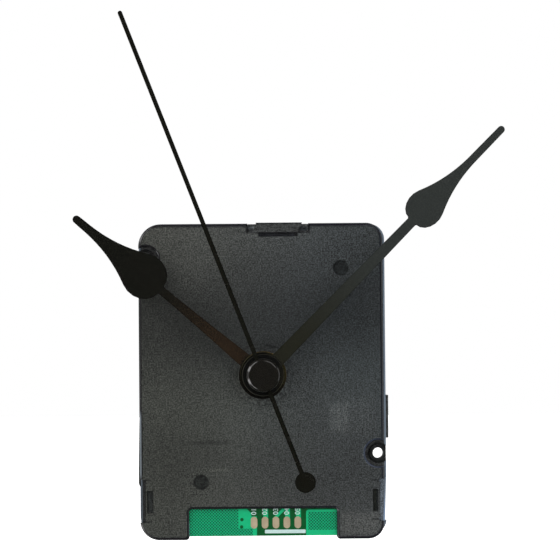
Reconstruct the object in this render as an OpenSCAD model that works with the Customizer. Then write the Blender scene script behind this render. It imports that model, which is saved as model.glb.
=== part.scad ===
// Radio-controlled clock movement with three hands, in millimetres.
// Origin on the hand shaft in the plane of the front face; X to 3 o'clock,
// Z to 12 o'clock, the hands on the -Y side, the back of the case at +Y.

/* [Case] */
// left edge of the front plate, from the shaft
case_left = 35.4; // [33:0.1:46]
// right edge of the front plate, from the shaft
case_right = 34.9; // [33.5:0.1:46]
// top edge of the front plate, above the shaft
case_top = 43.7; // [43:0.1:58]
// bottom edge of the front plate, below the shaft
case_bottom = 47.3; // [46:0.1:62]
// depth of the case from front face to back face
case_depth = 18; // [18:0.1:24]
// thickness of the front plate
plate_t = 1.5; // [1.4:0.1:1.8]
// thickness of the rear case walls
wall_t = 1.5; // [1.2:0.1:2]
// how far the rear case stands out past the plate on the right
right_step = 0.8; // [0.3:0.1:1.2]
// radius of the two corners on the right
corner_r = 4.6; // [3.5:0.1:6]
// radius of the top left corner
corner_r_tl = 6.5; // [4:0.1:8]
// radius of the bottom left corner
corner_r_bl = 5.8; // [4:0.1:7]
// rounding along the edges of the case
edge_r = 0.8; // [0.4:0.1:1]

/* [Screw lugs] */
// distance of the right lug hole from the right edge of the plate
lug_inset = 1.55; // [1.4:0.05:2]
// height of the point midway between the lug holes
lug_mid_z = 5.4; // [4:0.1:7]
// half of the upright distance between the two lug holes
lug_half_z = 28.1; // [27.5:0.1:32]
// radius of the lug pocket
lug_pocket_r = 3.8; // [3:0.1:4]
// radius of the lug hole
lug_hole_r = 1.5; // [1.2:0.05:1.9]
// thickness of the lug floor
lug_t = 2.2; // [1.5:0.1:3]
// how deep the lug floor lies under the front face
lug_depth = 3; // [2.5:0.1:5]

/* [Hands] */
// length of the hour hand, shaft to tip
hour_len = 70.4; // [55:0.1:90]
// greatest half width of the hour hand's heart
hour_heart = 6.45; // [4:0.05:8]
// length of the minute hand, shaft to tip
minute_len = 98.6; // [80:0.1:130]
// greatest half width of the minute hand's heart
minute_heart = 5.3; // [3:0.05:7]
// length of the second hand, shaft to tip
second_len = 111.2; // [90:0.1:140]
// distance of the counterweight disc from the shaft
tail_len = 32.6; // [20:0.1:40]
// radius of the counterweight disc
tail_disc_r = 2.95; // [1.5:0.05:5]
// width of the second hand
second_w = 1.28; // [0.8:0.02:2]
// thickness of the hour and minute blades
blade_t = 0.4; // [0.3:0.05:0.6]
// angle of the hour hand, clockwise from 12
hour_angle = -49.65; // [-180:0.05:180]
// angle of the minute hand, clockwise from 12
minute_angle = 44.6; // [-180:0.1:180]
// angle of the second hand, clockwise from 12
second_angle = -21.1; // [-180:0.1:180]

/* [Shafts] */
// radius of the threaded bush
bush_r = 4; // [3.8:0.1:4.5]
// length of the bush in front of the case
bush_len = 5; // [5:0.1:12]
// outer radius of the hour pipe
hour_pipe_r = 2.5; // [2.4:0.05:2.6]
// outer radius of the minute pipe
minute_pipe_r = 1.75; // [1.6:0.05:1.8]
// radius of the second arbor
second_r = 0.5; // [0.4:0.05:0.6]
// radial running clearance of shafts and pivots
run = 0.08; // [0.05:0.01:0.1]

/* [Gear train] */
// gear module
gear_m = 0.3; // [0.28:0.005:0.3]
// play between tooth flanks
flank_play = 0.1; // [0.08:0.01:0.14]
// thickness of the train wheels
wheel_t = 0.7; // [0.5:0.1:0.8]
// radius of the wheel pivots
pivot_r = 0.5; // [0.35:0.05:0.6]

/* [Battery bay] */
// inner width of the bay for one AA cell
bay_w = 14.8; // [14.6:0.1:15]
// inner length of the bay, contacts included
bay_len = 53; // [52.5:0.1:53.5]
// inner depth of the bay
bay_depth = 15.1; // [14.8:0.1:15.3]

/* [Circuit board] */
// board thickness
board_t = 1; // [0.8:0.1:1.2]
// half width of the window in the bottom edge
window_half = 21.2; // [18:0.1:23]
// height of the window above the bottom edge of the plate
window_h = 8.8; // [6:0.1:10]
// spacing of the test pads
pad_pitch = 3.15; // [2.5:0.05:3.6]

/* [Hidden] */
$fn = 64;
tl_r = max(corner_r, corner_r_tl);
bl_r = max(corner_r, corner_r_bl);
rear_left = case_left - 0.1;
rear_right = case_right + right_step;
rear_top = case_top - 0.2;
rear_bottom = case_bottom - 1.1;
rear_in = case_depth - 1.6;
lip = 1.0;
lug_pts = [[case_right - lug_inset, lug_mid_z - lug_half_z], [-case_left + lug_inset + 0.5, lug_mid_z + lug_half_z]];

// levels of the train, measured back from the front face
mid_y = 6.1;
mid_t = 0.7;
back_y = 14;
back_t = 0.9;
hour_wheel_y = 3.3;
motion_wheel_y = 4.7;
minute_wheel_y = 7.1;
third_wheel_y = 8.8;
fourth_wheel_y = 10.3;
seconds_wheel_y = 12.6;
stator_y = 12.2;
stator_t = 0.8;
magnet_y = 11.8;
magnet_t = 1.6;

// levels of the hands, in front of the face
hour_blade_y = -bush_len - 1.3;
minute_blade_y = hour_blade_y - 2;
second_blade_y = minute_blade_y - 1.9;
cap_y = second_blade_y - 2.2;

// axes of the train as seen from the front: 3 o'clock is 0 degrees
function at(p, d, a) = [p[0] + d * cos(a), p[1] + d * sin(a)];
function reach(za, zb) = gear_m * (za + zb) / 2;
shaft = [0, 0];
motion_dir = -40;
motion_p = at(shaft, reach(45, 15), motion_dir);
third_dir = 215;
third_p = at(shaft, reach(60, 10), third_dir);
fourth_dir = 165;
fourth_p = at(third_p, reach(50, 10), fourth_dir);
minute_rotor_dir = 265;
minute_rotor_p = at(fourth_p, reach(40, 10), minute_rotor_dir);
transfer_dir = 62;
transfer_p = at(shaft, reach(60, 10), transfer_dir);
seconds_rotor_dir = 130;
seconds_rotor_p = at(transfer_p, reach(50, 10), seconds_rotor_dir);

// turn of each wheel, so that teeth meet gaps along every line of centres
function mesh(za, ta, dir, zb) = dir + 180 + (0.5 - (ta - dir) * za / 360) * 360 / zb;
minute_turn = 90 - minute_angle;
seconds_turn = 90 - second_angle;
motion_turn = mesh(15, minute_turn, motion_dir, 45);
hour_turn = mesh(12, motion_turn, motion_dir + 180, 48);
third_turn = mesh(60, minute_turn, third_dir, 10);
fourth_turn = mesh(50, third_turn, fourth_dir, 10);
minute_rotor_turn = mesh(40, fourth_turn, minute_rotor_dir, 10);
transfer_turn = mesh(60, seconds_turn, transfer_dir, 10);
seconds_rotor_turn = mesh(50, transfer_turn, seconds_rotor_dir, 10);

// the light beam that senses the hands passes one hole in each wheel
beam_dir = 140;
beam_r = 5.5;
beam_p = at(shaft, beam_r, beam_dir);
beam_hole_r = 0.6;

// posts of the front case that carry both plates
posts = [[13, 3.8], [12.4, 21], [-14.5, 12], [1.5, -15.5]];
post_r = 1.5;
screw_r = 0.6;

bay_x = 15.8 + 1;
bay_z = -15;
bay_y = case_depth - bay_depth;
board_x = [-30.5, 27.8];
board_top = -20;
switch_z = -31.5;
switch_x = [-14, -2, 10];
button_r = 2.2;
coil_r = 3.1;
antenna_x = -29.2;
antenna_y = 10;
ferrite_r = 3;

// latches between the two halves of the case
latch_play = 0.1;
top_notch = [-3.9, 13.7];
top_slot = [-0.8, 10.6];
side_z = [-case_bottom + 5.1, -case_bottom + 17.5];
side_window_z = [side_z[0] + 2.8, side_z[0] + 9.2];
right_window = [case_right - 3.3, case_right - 1.85];
left_window = [-case_left + 2.05, -case_left + 3.85];

charcoal = [0.2, 0.2, 0.19];
natural = [0.86, 0.85, 0.8];
steel = [0.7, 0.7, 0.72];
brassy = [0.8, 0.65, 0.35];
copper = [0.75, 0.42, 0.25];
black = [0.07, 0.07, 0.07];
green = [0.05, 0.42, 0.25];
ferrite = [0.22, 0.22, 0.24];

// a flat shape drawn as seen from the front, from depth y0 to y0 + t
module slab(y0, t) {
    translate([0, y0 + t, 0]) rotate([90, 0, 0]) linear_extrude(t) children();
}

module rod(p, y0, t, r) {
    translate([p[0], y0 + t, p[1]]) rotate([90, 0, 0]) cylinder(h = t, r = r);
}

module tube(p, y0, t, r, bore) {
    difference() {
        rod(p, y0, t, r);
        rod(p, y0 - 1, t + 2, bore);
    }
}

module box(x0, x1, y0, y1, z0, z1) {
    translate([x0, y0, z0]) cube([x1 - x0, y1 - y0, z1 - z0]);
}

// rectangle with larger corner radii at the top left and bottom left
module rounded(x0, x1, z0, z1, r, rtl, rbl) {
    translate([x0 + rbl, z0]) square([x1 - x0 - r - rbl, rbl]);
    translate([x0, z0 + rbl]) square([x1 - x0, z1 - z0 - rbl - rtl]);
    translate([x0 + rtl, z1 - rtl]) square([x1 - x0 - r - rtl, rtl]);
    translate([x1 - r - 0.1, z1 - rtl - 0.1]) square([r + 0.1, rtl - r + 0.1]);
    translate([x1 - r - 0.1, z0 + r]) square([r + 0.1, rbl - r + 0.1]);
    translate([x0 + rbl, z0 + rbl]) circle(rbl);
    translate([x1 - r, z0 + r]) circle(r);
    translate([x1 - r, z1 - r]) circle(r);
    translate([x0 + rtl, z1 - rtl]) circle(rtl);
}

// edge profile of a plate: d wide, t thick, rounded by f at the outer front;
// with f below 0 the profile of an opening that flares towards the front
module edge_profile(d, t, f) {
    if (f < 0) {
        square([d, t]);
        translate([0, -0.5]) square([d - f, 0.5]);
        difference() {
            square([d - f, -f]);
            translate([d - f, -f]) circle(-f);
        }
    } else intersection() {
        union() {
            square([d - f, t]);
            translate([0, f]) square([d, t - f]);
            translate([d - f, f]) circle(f);
        }
        square([d, t]);
    }
}

// one quarter of a rounded corner, turned to its quadrant
module corner(x, z, y0, t, r, f, quadrant) {
    translate([x, y0, z]) rotate([0, -quadrant * 90, 0]) rotate([-90, 0, 0])
        rotate([0, 0, -90]) rotate_extrude(angle = 90) edge_profile(r, t, f);
}

// plate with rounded front edges; turned over when back is true
module soft_plate(x0, x1, z0, z1, y0, t, r, rtl, rbl, f, back = false) {
    y = back ? -y0 - t : y0;
    d = 3;
    mirror([0, back ? 1 : 0, 0]) {
        slab(y, t) rounded(x0 + 2 * f, x1 - 2 * f, z0 + 2 * f, z1 - 2 * f, r - 2 * f, rtl - 2 * f, rbl - 2 * f);
        corner(x1 - r, z1 - r, y, t, r, f, 0);
        corner(x0 + rtl, z1 - rtl, y, t, rtl, f, 1);
        corner(x0 + rbl, z0 + rbl, y, t, rbl, f, 2);
        corner(x1 - r, z0 + r, y, t, r, f, 3);
        side(x1, z0 + r, z1 - r, y, t, d, f, 0);
        side(z1, -x1 + r, -x0 - rtl, y, t, d, f, 1);
        side(-x0, -z1 + rtl, -z0 - rbl, y, t, d, f, 2);
        side(-z0, x0 + rbl, x1 - r, y, t, d, f, 3);
    }
}

// straight edge of a plate, at distance e from the shaft, from a to b along it
module side(e, a, b, y, t, d, f, quadrant) {
    rotate([0, -quadrant * 90, 0]) translate([e - d, y, a])
        linear_extrude(b - a) edge_profile(d, t, f);
}

// tooth outline: involute flanks at 20 degrees, relieved near the root
function inv(a) = tan(a) * 180 / PI - a;
function half_tooth(z, q) = let (r = gear_m * z / 2, rb = r * cos(20))
    (gear_m * PI / 2 - flank_play) / 2 / r * 180 / PI + inv(20) - inv(acos(rb / max(q, rb)));
function flank(z) = let (r = gear_m * z / 2, s = z < 20 ? 0.8 : 1, d = 1.33 * gear_m) [
    [r - d, half_tooth(z, z < 20 ? r : r - d) * s],
    [r - d / 2, half_tooth(z, z < 20 ? r : r - d / 2) * (1 + s) / 2],
    [r, half_tooth(z, r)],
    [r + 0.9 * gear_m, half_tooth(z, r + 0.9 * gear_m)]
];
function polar(q, a) = [q * cos(a), q * sin(a)];

module gear_shape(z) {
    f = flank(z);
    polygon([for (k = [0:z - 1]) for (i = [0:7])
        i < 4 ? polar(f[i][0], k * 360 / z - f[i][1]) : polar(f[7 - i][0], k * 360 / z + f[7 - i][1])]);
}

module gear(p, y0, t, z, turn) {
    slab(y0, t) translate(p) rotate(turn) gear_shape(z);
}

// wheel rim with teeth, a thin web and a hub, bored for its arbor
module train_wheel(p, y0, z, turn, hub_r) {
    r = gear_m * z / 2;
    difference() {
        gear(p, y0, wheel_t, z, turn);
        tube(p, y0 - 1, 1.2, r - 1.2, hub_r);
    }
}

// blade with a heart-shaped head, drawn pointing to 12
module heart_blade(len, root, neck, heart, neck_t, wide_t, flank_t, tip, power, disc_r) {
    h = heart - neck;
    d = wide_t - neck_t;
    t1 = wide_t + d / 2;
    w1 = neck + h * sin(120);
    right = concat(
        [for (i = [0:6]) [neck + (root - neck) * pow(1 - i / 6, 1.6), neck_t * i / 6]],
        [for (a = [20:20:120]) [neck + h * sin(a), wide_t - d * cos(a)]],
        [for (i = [1:9]) [tip + (w1 - tip) * pow(1 - i / 9, power), t1 + (flank_t - t1) * i / 9]],
        [[tip * 0.94, len - tip]]
    );
    left = [for (i = [len(right) - 1:-1:0]) [-right[i][0], right[i][1]]];
    polygon(concat(right, left));
    translate([0, len - tip]) circle(tip * 0.94);
    circle(disc_r);
}

// outline of a side notch with a barb at each end, c smaller all round
function notch(s, outer, inner, c) = let (a = side_z[0] + c, b = side_z[1] - c, q = inner + c) [
    [s * outer, b], [s * (q + 0.1), b], [s * (q - 0.25), b - 0.8], [s * (q + 0.35), b - 1.6],
    [s * q, b - 2.1], [s * q, a + 2.1],
    [s * (q + 0.35), a + 1.6], [s * (q - 0.25), a + 0.8], [s * (q + 0.1), a], [s * outer, a]
];

// opening in the bottom edge, flared towards the front, with rounded legs
module window_cut() {
    top = -case_bottom + window_h;
    r = 0.8;
    leg = edge_r + 0.2;
    slab(-1, plate_t + 2) rounded(-window_half, window_half, -case_bottom - 5, top, r, r, r);
    corner(window_half - r, top - r, 0, plate_t, r, -edge_r, 0);
    corner(-window_half + r, top - r, 0, plate_t, r, -edge_r, 1);
    side(window_half, -case_bottom - 1, top - r, 0, plate_t, 1, -edge_r, 0);
    side(top, -window_half + r, window_half - r, 0, plate_t, 1, -edge_r, 1);
    side(window_half, r - top, case_bottom + 1, 0, plate_t, 1, -edge_r, 2);
    difference() {
        union() {
            box(window_half - 0.1, window_half + leg, -1, plate_t + 1, -case_bottom - 1, -case_bottom + leg);
            box(-window_half - leg, -window_half + 0.1, -1, plate_t + 1, -case_bottom - 1, -case_bottom + leg);
        }
        corner(window_half + leg, -case_bottom + leg, 0, plate_t + 2, leg, edge_r, 2);
        corner(-window_half - leg, -case_bottom + leg, 0, plate_t + 2, leg, edge_r, 3);
    }
}

// what lies outside a latch arm whose side leans by a and whose front edge is rounded by r
module arm_trim(s, x, depth, a, r) {
    h = side_z[1] - side_z[0];
    mirror([s < 0 ? 1 : 0, 0, 0]) intersection() {
        box(x - 5, x + 5, -1, depth, side_z[0], side_z[1]);
        translate([x, 0.3, side_z[0]]) rotate([0, a, 0]) difference() {
            translate([-r, -2, -2]) cube([6, depth + 4, h + 4]);
            translate([-5, r, -3]) cube([5, depth + 4, h + 6]);
            translate([-r, r, -3]) cylinder(h = h + 6, r = r);
        }
    }
}

module front_case() {
    color(charcoal) difference() {
        union() {
            soft_plate(-case_left, case_right, -case_bottom, case_top, 0, plate_t, corner_r, tl_r, bl_r,
                edge_r);
            difference() {
                slab(plate_t, 2.5) rounded(-rear_left + wall_t + 0.15, rear_right - wall_t - 0.15,
                    -rear_bottom + wall_t + 0.15, rear_top - wall_t - 0.15, corner_r - 1.5, tl_r - 1.5, bl_r - 1.5);
                slab(plate_t - 0.5, 4) rounded(-rear_left + wall_t + lip + 0.15, rear_right - wall_t - lip - 0.15,
                    -rear_bottom + wall_t + lip + 0.15, rear_top - wall_t - lip - 0.15, corner_r - 2.5, tl_r - 2.5,
                    corner_r - 2.5);
                for (p = lug_pts) rod(p, plate_t, 4, lug_pocket_r + 1.4);
                box(top_notch[0] - 0.4, top_notch[1] + 0.4, plate_t, 6, case_top - 6, case_top);
                box(-window_half - 0.5, window_half + 0.5, plate_t, 6, -case_bottom, -case_bottom + 6);
                box(case_right - 5, case_right + 2, plate_t, 6, side_z[0] - 0.3, side_z[1] + 0.3);
                box(-case_left - 2, -case_left + 5, plate_t, 6, side_z[0] - 0.3, side_z[1] + 0.3);
            }
            for (p = posts) {
                rod(p, plate_t - 0.5, mid_y - plate_t + 0.5, post_r + 0.6);
                rod(p, mid_y - 0.5, back_y - mid_y + 0.5, post_r);
            }
            rod(motion_p, plate_t - 0.5, 1.9, 1.5);
            rod(motion_p, plate_t, mid_y + mid_t - 0.1 - plate_t, screw_r);
        }
        // seat of the bush and the double-D pad round it
        rod(shaft, -1, plate_t + 2, bush_r + 0.6);
        slab(-1, 1.2) intersection() {
            circle(8.9);
            square([14.8, 20], center = true);
        }
        // screw lugs, with a soft lip round each pocket
        for (p = lug_pts) {
            rod(p, -1, plate_t + 2, lug_pocket_r);
            translate([p[0], 0, p[1]]) rotate([-90, 0, 0]) rotate_extrude() edge_profile(lug_pocket_r, plate_t, -0.6);
        }
        // top latch
        slab(-1, plate_t + 2) {
            translate([top_notch[0], case_top - 2.8]) square([top_notch[1] - top_notch[0], 5]);
            translate([top_slot[0], case_top - 3.85]) square([top_slot[1] - top_slot[0], 5]);
        }
        // side latches and their windows
        slab(-1, 4) {
            polygon(notch(1, case_right + 5, case_right - 1.4, 0));
            polygon(notch(-1, case_left + 5, case_left - 1.7, 0));
        }
        box(right_window[0], right_window[1], -1, 5, side_window_z[0], side_window_z[1]);
        box(left_window[0], left_window[1], -1, 5, side_window_z[0], side_window_z[1]);
        window_cut();
        // blind dimples
        rod([22.9, 30.7], -1, 1.6, 2.17);
        rod([-17.7, -30.7], -1, 1.6, 2.17);
        for (p = posts) rod(p, back_y - 5, 6, screw_r);
    }
}

module centre_bush() {
    color(brassy) difference() {
        union() {
            rod(shaft, -bush_len, bush_len + plate_t, bush_r);
            rod(shaft, 0.2, plate_t + 0.6, bush_r + 0.6);
        }
        rod(shaft, -bush_len - 1, bush_len + 6, hour_pipe_r + run);
    }
}

module rear_outline(e, r) {
    rounded(-rear_left + e, rear_right - e, -rear_bottom + e, rear_top - e, r, r + tl_r - corner_r,
        r + bl_r - corner_r);
}

// outside of the rear case, its edges rounded in front and behind
module rear_body() {
    soft_plate(-rear_left, rear_right, -rear_bottom, rear_top, plate_t, 4, corner_r, tl_r, bl_r, 0.6);
    soft_plate(-rear_left, rear_right, -rear_bottom, rear_top, plate_t + 4, case_depth - plate_t - 4,
        corner_r, tl_r, bl_r, 1, back = true);
}

// block of a side latch that fills its window, on an arm from the side wall
module latch_block(window, wall_x) {
    z0 = side_window_z[0] + latch_play;
    z1 = side_window_z[1] - latch_play;
    x0 = window[0] + latch_play;
    x1 = window[1] - latch_play;
    box(x0, x1, 0.6, 3.6, z0, z1);
    box(min(x0, wall_x), max(x1, wall_x), plate_t + latch_play, 3.6, z0, z1);
}

module rear_case() {
    color(charcoal) difference() {
        union() {
            difference() {
                rear_body();
                slab(plate_t - 1, rear_in - plate_t + 1) rear_outline(wall_t, corner_r - 1.5);
            }
            // battery bay
            box(bay_x - 1, bay_x + bay_w + 1, bay_y - 0.9, case_depth - 1, bay_z - 1, bay_z + bay_len + 1);
            // walls and floors of the screw lugs
            for (p = lug_pts) intersection() {
                rod(p, plate_t, case_depth - plate_t - 1, lug_pocket_r + 1.2);
                rear_body();
            }
            // tongue of the top latch: a plate in the notch, a tab on it and a floor under the tab
            box(top_notch[0] + latch_play, top_notch[1] - latch_play, 0.5, plate_t + 0.7,
                case_top - 2.8 + latch_play, rear_top);
            slab(0.1, 0.6) polygon([[-1.5, rear_top + 0.4], [11.9, rear_top + 0.4],
                [10.6, case_top - 2.5], [-0.76, case_top - 2.5]]);
            box(top_slot[0] + latch_play, top_slot[1] - latch_play, 1.1, plate_t + 0.7,
                case_top - 3.85 + latch_play, case_top - 2.5);
            // tongues and blocks of the side latches
            slab(0.3, 3.7) {
                polygon(notch(1, rear_right - 0.1, case_right - 1.4, latch_play));
                polygon(notch(-1, rear_left - 0.2, case_left - 1.7, latch_play));
            }
            latch_block(right_window, rear_right - 1);
            latch_block(left_window, -rear_left + 1);
            // pads on the side walls, the left one swelling downwards
            box(rear_right - 0.5, rear_right + 0.8, 3, 14, -18.4, -6.05);
            slab(3, 11) polygon([[-rear_left + 0.5, -2.6], [-rear_left, -2.6], [-rear_left - 0.45, -27],
                [-rear_left - 0.45, -31], [-rear_left - 0.2, -31.8], [-rear_left + 0.5, -31.8]]);
            // cradles of the ferrite rod
            for (z = [-28, 26]) box(-32.4, -26, antenna_y, case_depth - 1, z - 1, z + 1);
        }
        box(bay_x, bay_x + bay_w, bay_y, case_depth + 1, bay_z, bay_z + bay_len);
        for (p = lug_pts) {
            rod(p, plate_t - 2, lug_depth + 1.4 - plate_t, lug_pocket_r - 0.7);
            tube(p, lug_depth - 0.7, 0.7, lug_pocket_r - 0.7, 2.3);
            rod(p, lug_depth + lug_t, case_depth, lug_pocket_r);
            rod(p, 0, case_depth, lug_hole_r);
        }
        arm_trim(1, rear_right - 0.58, 14, 1.9, 0.5);
        arm_trim(-1, rear_left - 0.2, 2.5, 0, 0.5);
        // room for the board in the bottom window
        box(-window_half - 0.3, window_half + 0.3, plate_t - 1, plate_t + board_t + 0.1, -rear_bottom - 1, -rear_bottom + 6);
        for (x = switch_x) rod([x, switch_z], 10, 10, button_r + 0.12);
        // slots for the battery contacts
        box(bay_x - 2, bay_x + 0.5, 3.4, 5.6, bay_z + bay_len - 0.4, bay_z + bay_len);
        box(19.8, 23.2, bay_y + 0.2, bay_y + 0.7, bay_z - 2, bay_z + 1);
        translate([antenna_x, antenna_y, -40]) cylinder(h = 80, r = ferrite_r);
    }
}

module circuit_board() {
    color(green) difference() {
        slab(plate_t, board_t) difference() {
            union() {
                translate([board_x[0], -43.5]) square([board_x[1] - board_x[0], board_top + 43.5]);
                translate([-window_half - 0.1, -case_bottom + 1]) square([2 * window_half + 0.2, 8]);
                translate([-8.5, board_top - 1]) square([5.3, 26.5]);
            }
            circle(bush_r + 0.9);
        }
        for (p = posts) rod(p, 0, 8, post_r + 0.8);
    }
}

module test_pads() {
    color(copper) for (i = [-2:2]) slab(plate_t - 0.05, 0.05) translate([3.7 + i * pad_pitch, -42.5]) {
        square([1.9, 1.5], center = true);
        translate([0, 0.75]) circle(0.95);
        translate([0, -0.75]) circle(0.95);
    }
}

module clock_chip() {
    y = plate_t + board_t;
    color(black) translate([-24, y, -31]) rotate([-90, 0, 0]) {
        cylinder(h = 0.6, r = 4);
        translate([0, 0, 0.6]) cylinder(h = 0.5, r1 = 4, r2 = 2.8);
    }
}

module crystals() {
    y = plate_t + board_t;
    color(steel) for (z = [-36, -41]) {
        translate([-10, y + 1.7, z]) rotate([0, 90, 0]) cylinder(h = z < -40 ? 8 : 6, r = 1.5);
        box(-10, z < -40 ? -2 : -4, y, y + 1.5, z - 0.7, z + 0.7);
    }
}

module capacitors() {
    y = plate_t + board_t;
    color(black) {
        translate([17, y + 2.7, -37]) rotate([0, 90, 0]) cylinder(h = 7, r = 2.5);
        box(17, 24, y, y + 2, -38.2, -35.8);
        for (x = [-22, -18.5]) box(x, x + 2, y, y + 0.9, -39, -37.8);
    }
}

module tact_switches() {
    y = plate_t + board_t;
    color(steel) for (x = switch_x) difference() {
        box(x - 2.3, x + 2.3, y, y + 2.4, switch_z - 2.3, switch_z + 2.3);
        rod([x, switch_z], y + 0.2, 4, 1.15);
    }
}

module plunger(i) {
    color(black) rod([switch_x[i], switch_z], plate_t + board_t + 0.9, 2.2, 1.05);
}

module button(i) {
    p = [switch_x[i], switch_z];
    y = plate_t + board_t + 3.1;
    color(charcoal) {
        rod(p, y, rear_in - 0.9 - y, 1.5);
        rod(p, rear_in - 1.2, 0.9, button_r + 0.9);
        rod(p, rear_in - 0.4, case_depth + 0.6 - rear_in + 0.4, button_r);
    }
}

module infrared_emitter() {
    color(black) box(beam_p[0] - 0.8, beam_p[0] + 0.8, plate_t + board_t, plate_t + board_t + 0.5,
        beam_p[1] - 0.4, beam_p[1] + 0.4);
}

module photo_sensor() {
    color(black) rod(beam_p, back_y - 0.2, back_t + 0.2, 1.3);
}

module sensor_board() {
    color(green) box(beam_p[0] - 4, beam_p[0] + 4, back_y + back_t, back_y + back_t + 0.6, beam_p[1] - 3, beam_p[1] + 3);
}

module ferrite_rod() {
    color(ferrite) translate([antenna_x, antenna_y, -30]) cylinder(h = 58, r = ferrite_r);
}

module antenna_bobbin() {
    color(natural) difference() {
        union() {
            translate([antenna_x, antenna_y, 3]) cylinder(h = 22, r = ferrite_r + 0.4);
            for (z = [3, 24.4]) translate([antenna_x, antenna_y, z]) cylinder(h = 0.6, r = ferrite_r + 1.2);
        }
        translate([antenna_x, antenna_y, 0]) cylinder(h = 30, r = ferrite_r);
    }
}

module antenna_coil() {
    color(copper) translate([antenna_x, antenna_y, 3.6]) difference() {
        cylinder(h = 20.8, r = ferrite_r + 1);
        translate([0, 0, -1]) cylinder(h = 24, r = ferrite_r + 0.4);
    }
}

module contact_positive() {
    z = bay_z + bay_len;
    color(steel) {
        box(bay_x + 2, bay_x + 12, 3.5, 14, z - 0.3, z);
        box(bay_x - 1.6, bay_x + 4, 3.5, 5.5, z - 0.3, z);
        box(bay_x - 1.6, bay_x - 1.3, plate_t + board_t, 5.5, -24, z);
    }
}

module contact_negative() {
    z = bay_z;
    color(steel) {
        box(bay_x + 2, bay_x + 12, bay_y + 0.3, 14, z, z + 0.3);
        box(20, 23, bay_y + 0.3, bay_y + 0.6, -22, z + 0.3);
        box(20, 23, plate_t + board_t, bay_y + 0.6, -22, -21.7);
        translate([bay_x + 4, 0, z]) rotate([90, 0, 90]) linear_extrude(6)
            polygon([[5, 0.2], [5.4, 0.2], [9.6, 2.6], [13.4, 0.9], [13.4, 1.25], [9.5, 3]]);
    }
}

module mid_plate() {
    color(natural) difference() {
        slab(mid_y, mid_t) {
            translate([-20.5, -8]) square([35.2, 26.5]);
            translate([-20.5, -14]) square([24.5, 8]);
            translate([-1, -17.6]) square([5, 8]);
            translate([9, 17]) square([5.7, 6.1]);
        }
        rod(shaft, 5, 3, minute_pipe_r + run);
        for (p = [third_p, fourth_p, minute_rotor_p, transfer_p, seconds_rotor_p]) rod(p, 5, 3, pivot_r + run);
        rod(motion_p, 5, 3, screw_r);
        rod(beam_p, 5, 3, 0.9);
        for (p = posts) rod(p, 5, 3, post_r);
    }
}

module rear_plate() {
    standoffs = [[-10, 15.6], [8.3, 15.6], [-24.1, -11.2], [-7.9, -11.2]];
    color(natural) difference() {
        union() {
            slab(back_y, back_t) {
                translate([-20, -9]) square([34.7, 28.4]);
                translate([-25.8, -15.8]) square([29.8, 8.8]);
                translate([-1, -17.6]) square([5, 8]);
                translate([8, 17]) square([6.7, 6.1]);
            }
            for (p = standoffs) {
                rod(p, stator_y + stator_t, back_y - stator_y - stator_t + 0.3, 1.2);
                rod(p, stator_y, 2, 0.6);
            }
        }
        for (p = [third_p, fourth_p, minute_rotor_p, transfer_p, seconds_rotor_p])
            rod(p, back_y - 1, 3, pivot_r + run);
        rod(shaft, back_y - 1, 3, second_r + run);
        rod(beam_p, back_y - 1, 3, 1.3);
        for (p = posts) rod(p, back_y - 1, 3, screw_r);
    }
}

module plate_screws() {
    color(steel) for (p = posts) {
        rod(p, back_y - 4.5, 4.6 + back_t, screw_r);
        rod(p, back_y + back_t, 0.7, 1.2);
    }
}

// laminated stator of one motor: arms past the rotor, legs to the coil core
module stator(p, x0, x1, z0, z1, pegs) {
    color(steel) difference() {
        slab(stator_y, stator_t) {
            translate([x0, p[1] - 1.8]) square([x1 - x0, 3.6]);
            translate([x0, min(z0, z1)]) square([3, abs(z1 - z0)]);
            translate([x1 - 3, min(z0, z1)]) square([3, abs(z1 - z0)]);
            translate(p) circle(3.6);
        }
        rod(p, 10, 5, 2.4);
        for (q = pegs) rod(q, 10, 5, 0.6);
        // saturation notches at both sides of the rotor
        for (s = [-1, 1]) rod([p[0], p[1] + s * 4.1], 10, 5, 0.9);
    }
}

module core(x0, x1, z) {
    color(steel) box(x0, x1, stator_y - 1, stator_y, z - 1.5, z + 1.5);
}

module bobbin(x0, x1, z) {
    y = stator_y - 0.5;
    color(natural) difference() {
        union() {
            translate([x0, y, z]) rotate([0, 90, 0]) cylinder(h = x1 - x0, r = 1.9);
            for (x = [x0, x1 - 0.6]) translate([x, y, z]) rotate([0, 90, 0]) cylinder(h = 0.6, r = coil_r + 0.1);
        }
        box(x0 - 1, x1 + 1, stator_y - 1, stator_y, z - 1.5, z + 1.5);
    }
}

module coil(x0, x1, z) {
    y = stator_y - 0.5;
    color(copper) translate([x0 + 0.6, y, z]) rotate([0, 90, 0]) difference() {
        cylinder(h = x1 - x0 - 1.2, r = coil_r - 0.1);
        translate([0, 0, -1]) cylinder(h = x1 - x0 + 2, r = 1.9);
    }
}

module seconds_stator() {
    stator(seconds_rotor_p, -11.5, 9.8, 14.4, 26.2, [[-10, 15.6], [8.3, 15.6]]);
}
module seconds_core() {
    core(-11.5, 9.8, 24.7);
}
module seconds_bobbin() {
    bobbin(-8.2, 6.5, 24.7);
}
module seconds_coil() {
    coil(-8.2, 6.5, 24.7);
}
module minute_stator() {
    stator(minute_rotor_p, -25.6, -6.4, -22, -9.4, [[-24.1, -11.2], [-7.9, -11.2]]);
}
module minute_core() {
    core(-25.6, -6.4, -20.5);
}
module minute_bobbin() {
    bobbin(-22.4, -9.6, -20.5);
}
module minute_coil() {
    coil(-22.4, -9.6, -20.5);
}

module rotor(p, turn) {
    color(natural) {
        rod(p, mid_y + 0.1, back_y + back_t - mid_y - 0.2, pivot_r);
        gear(p, fourth_wheel_y - 0.4, 1.4, 10, turn);
        rod(p, magnet_y - 0.6, magnet_t + 0.9, 0.8);
    }
}

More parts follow.
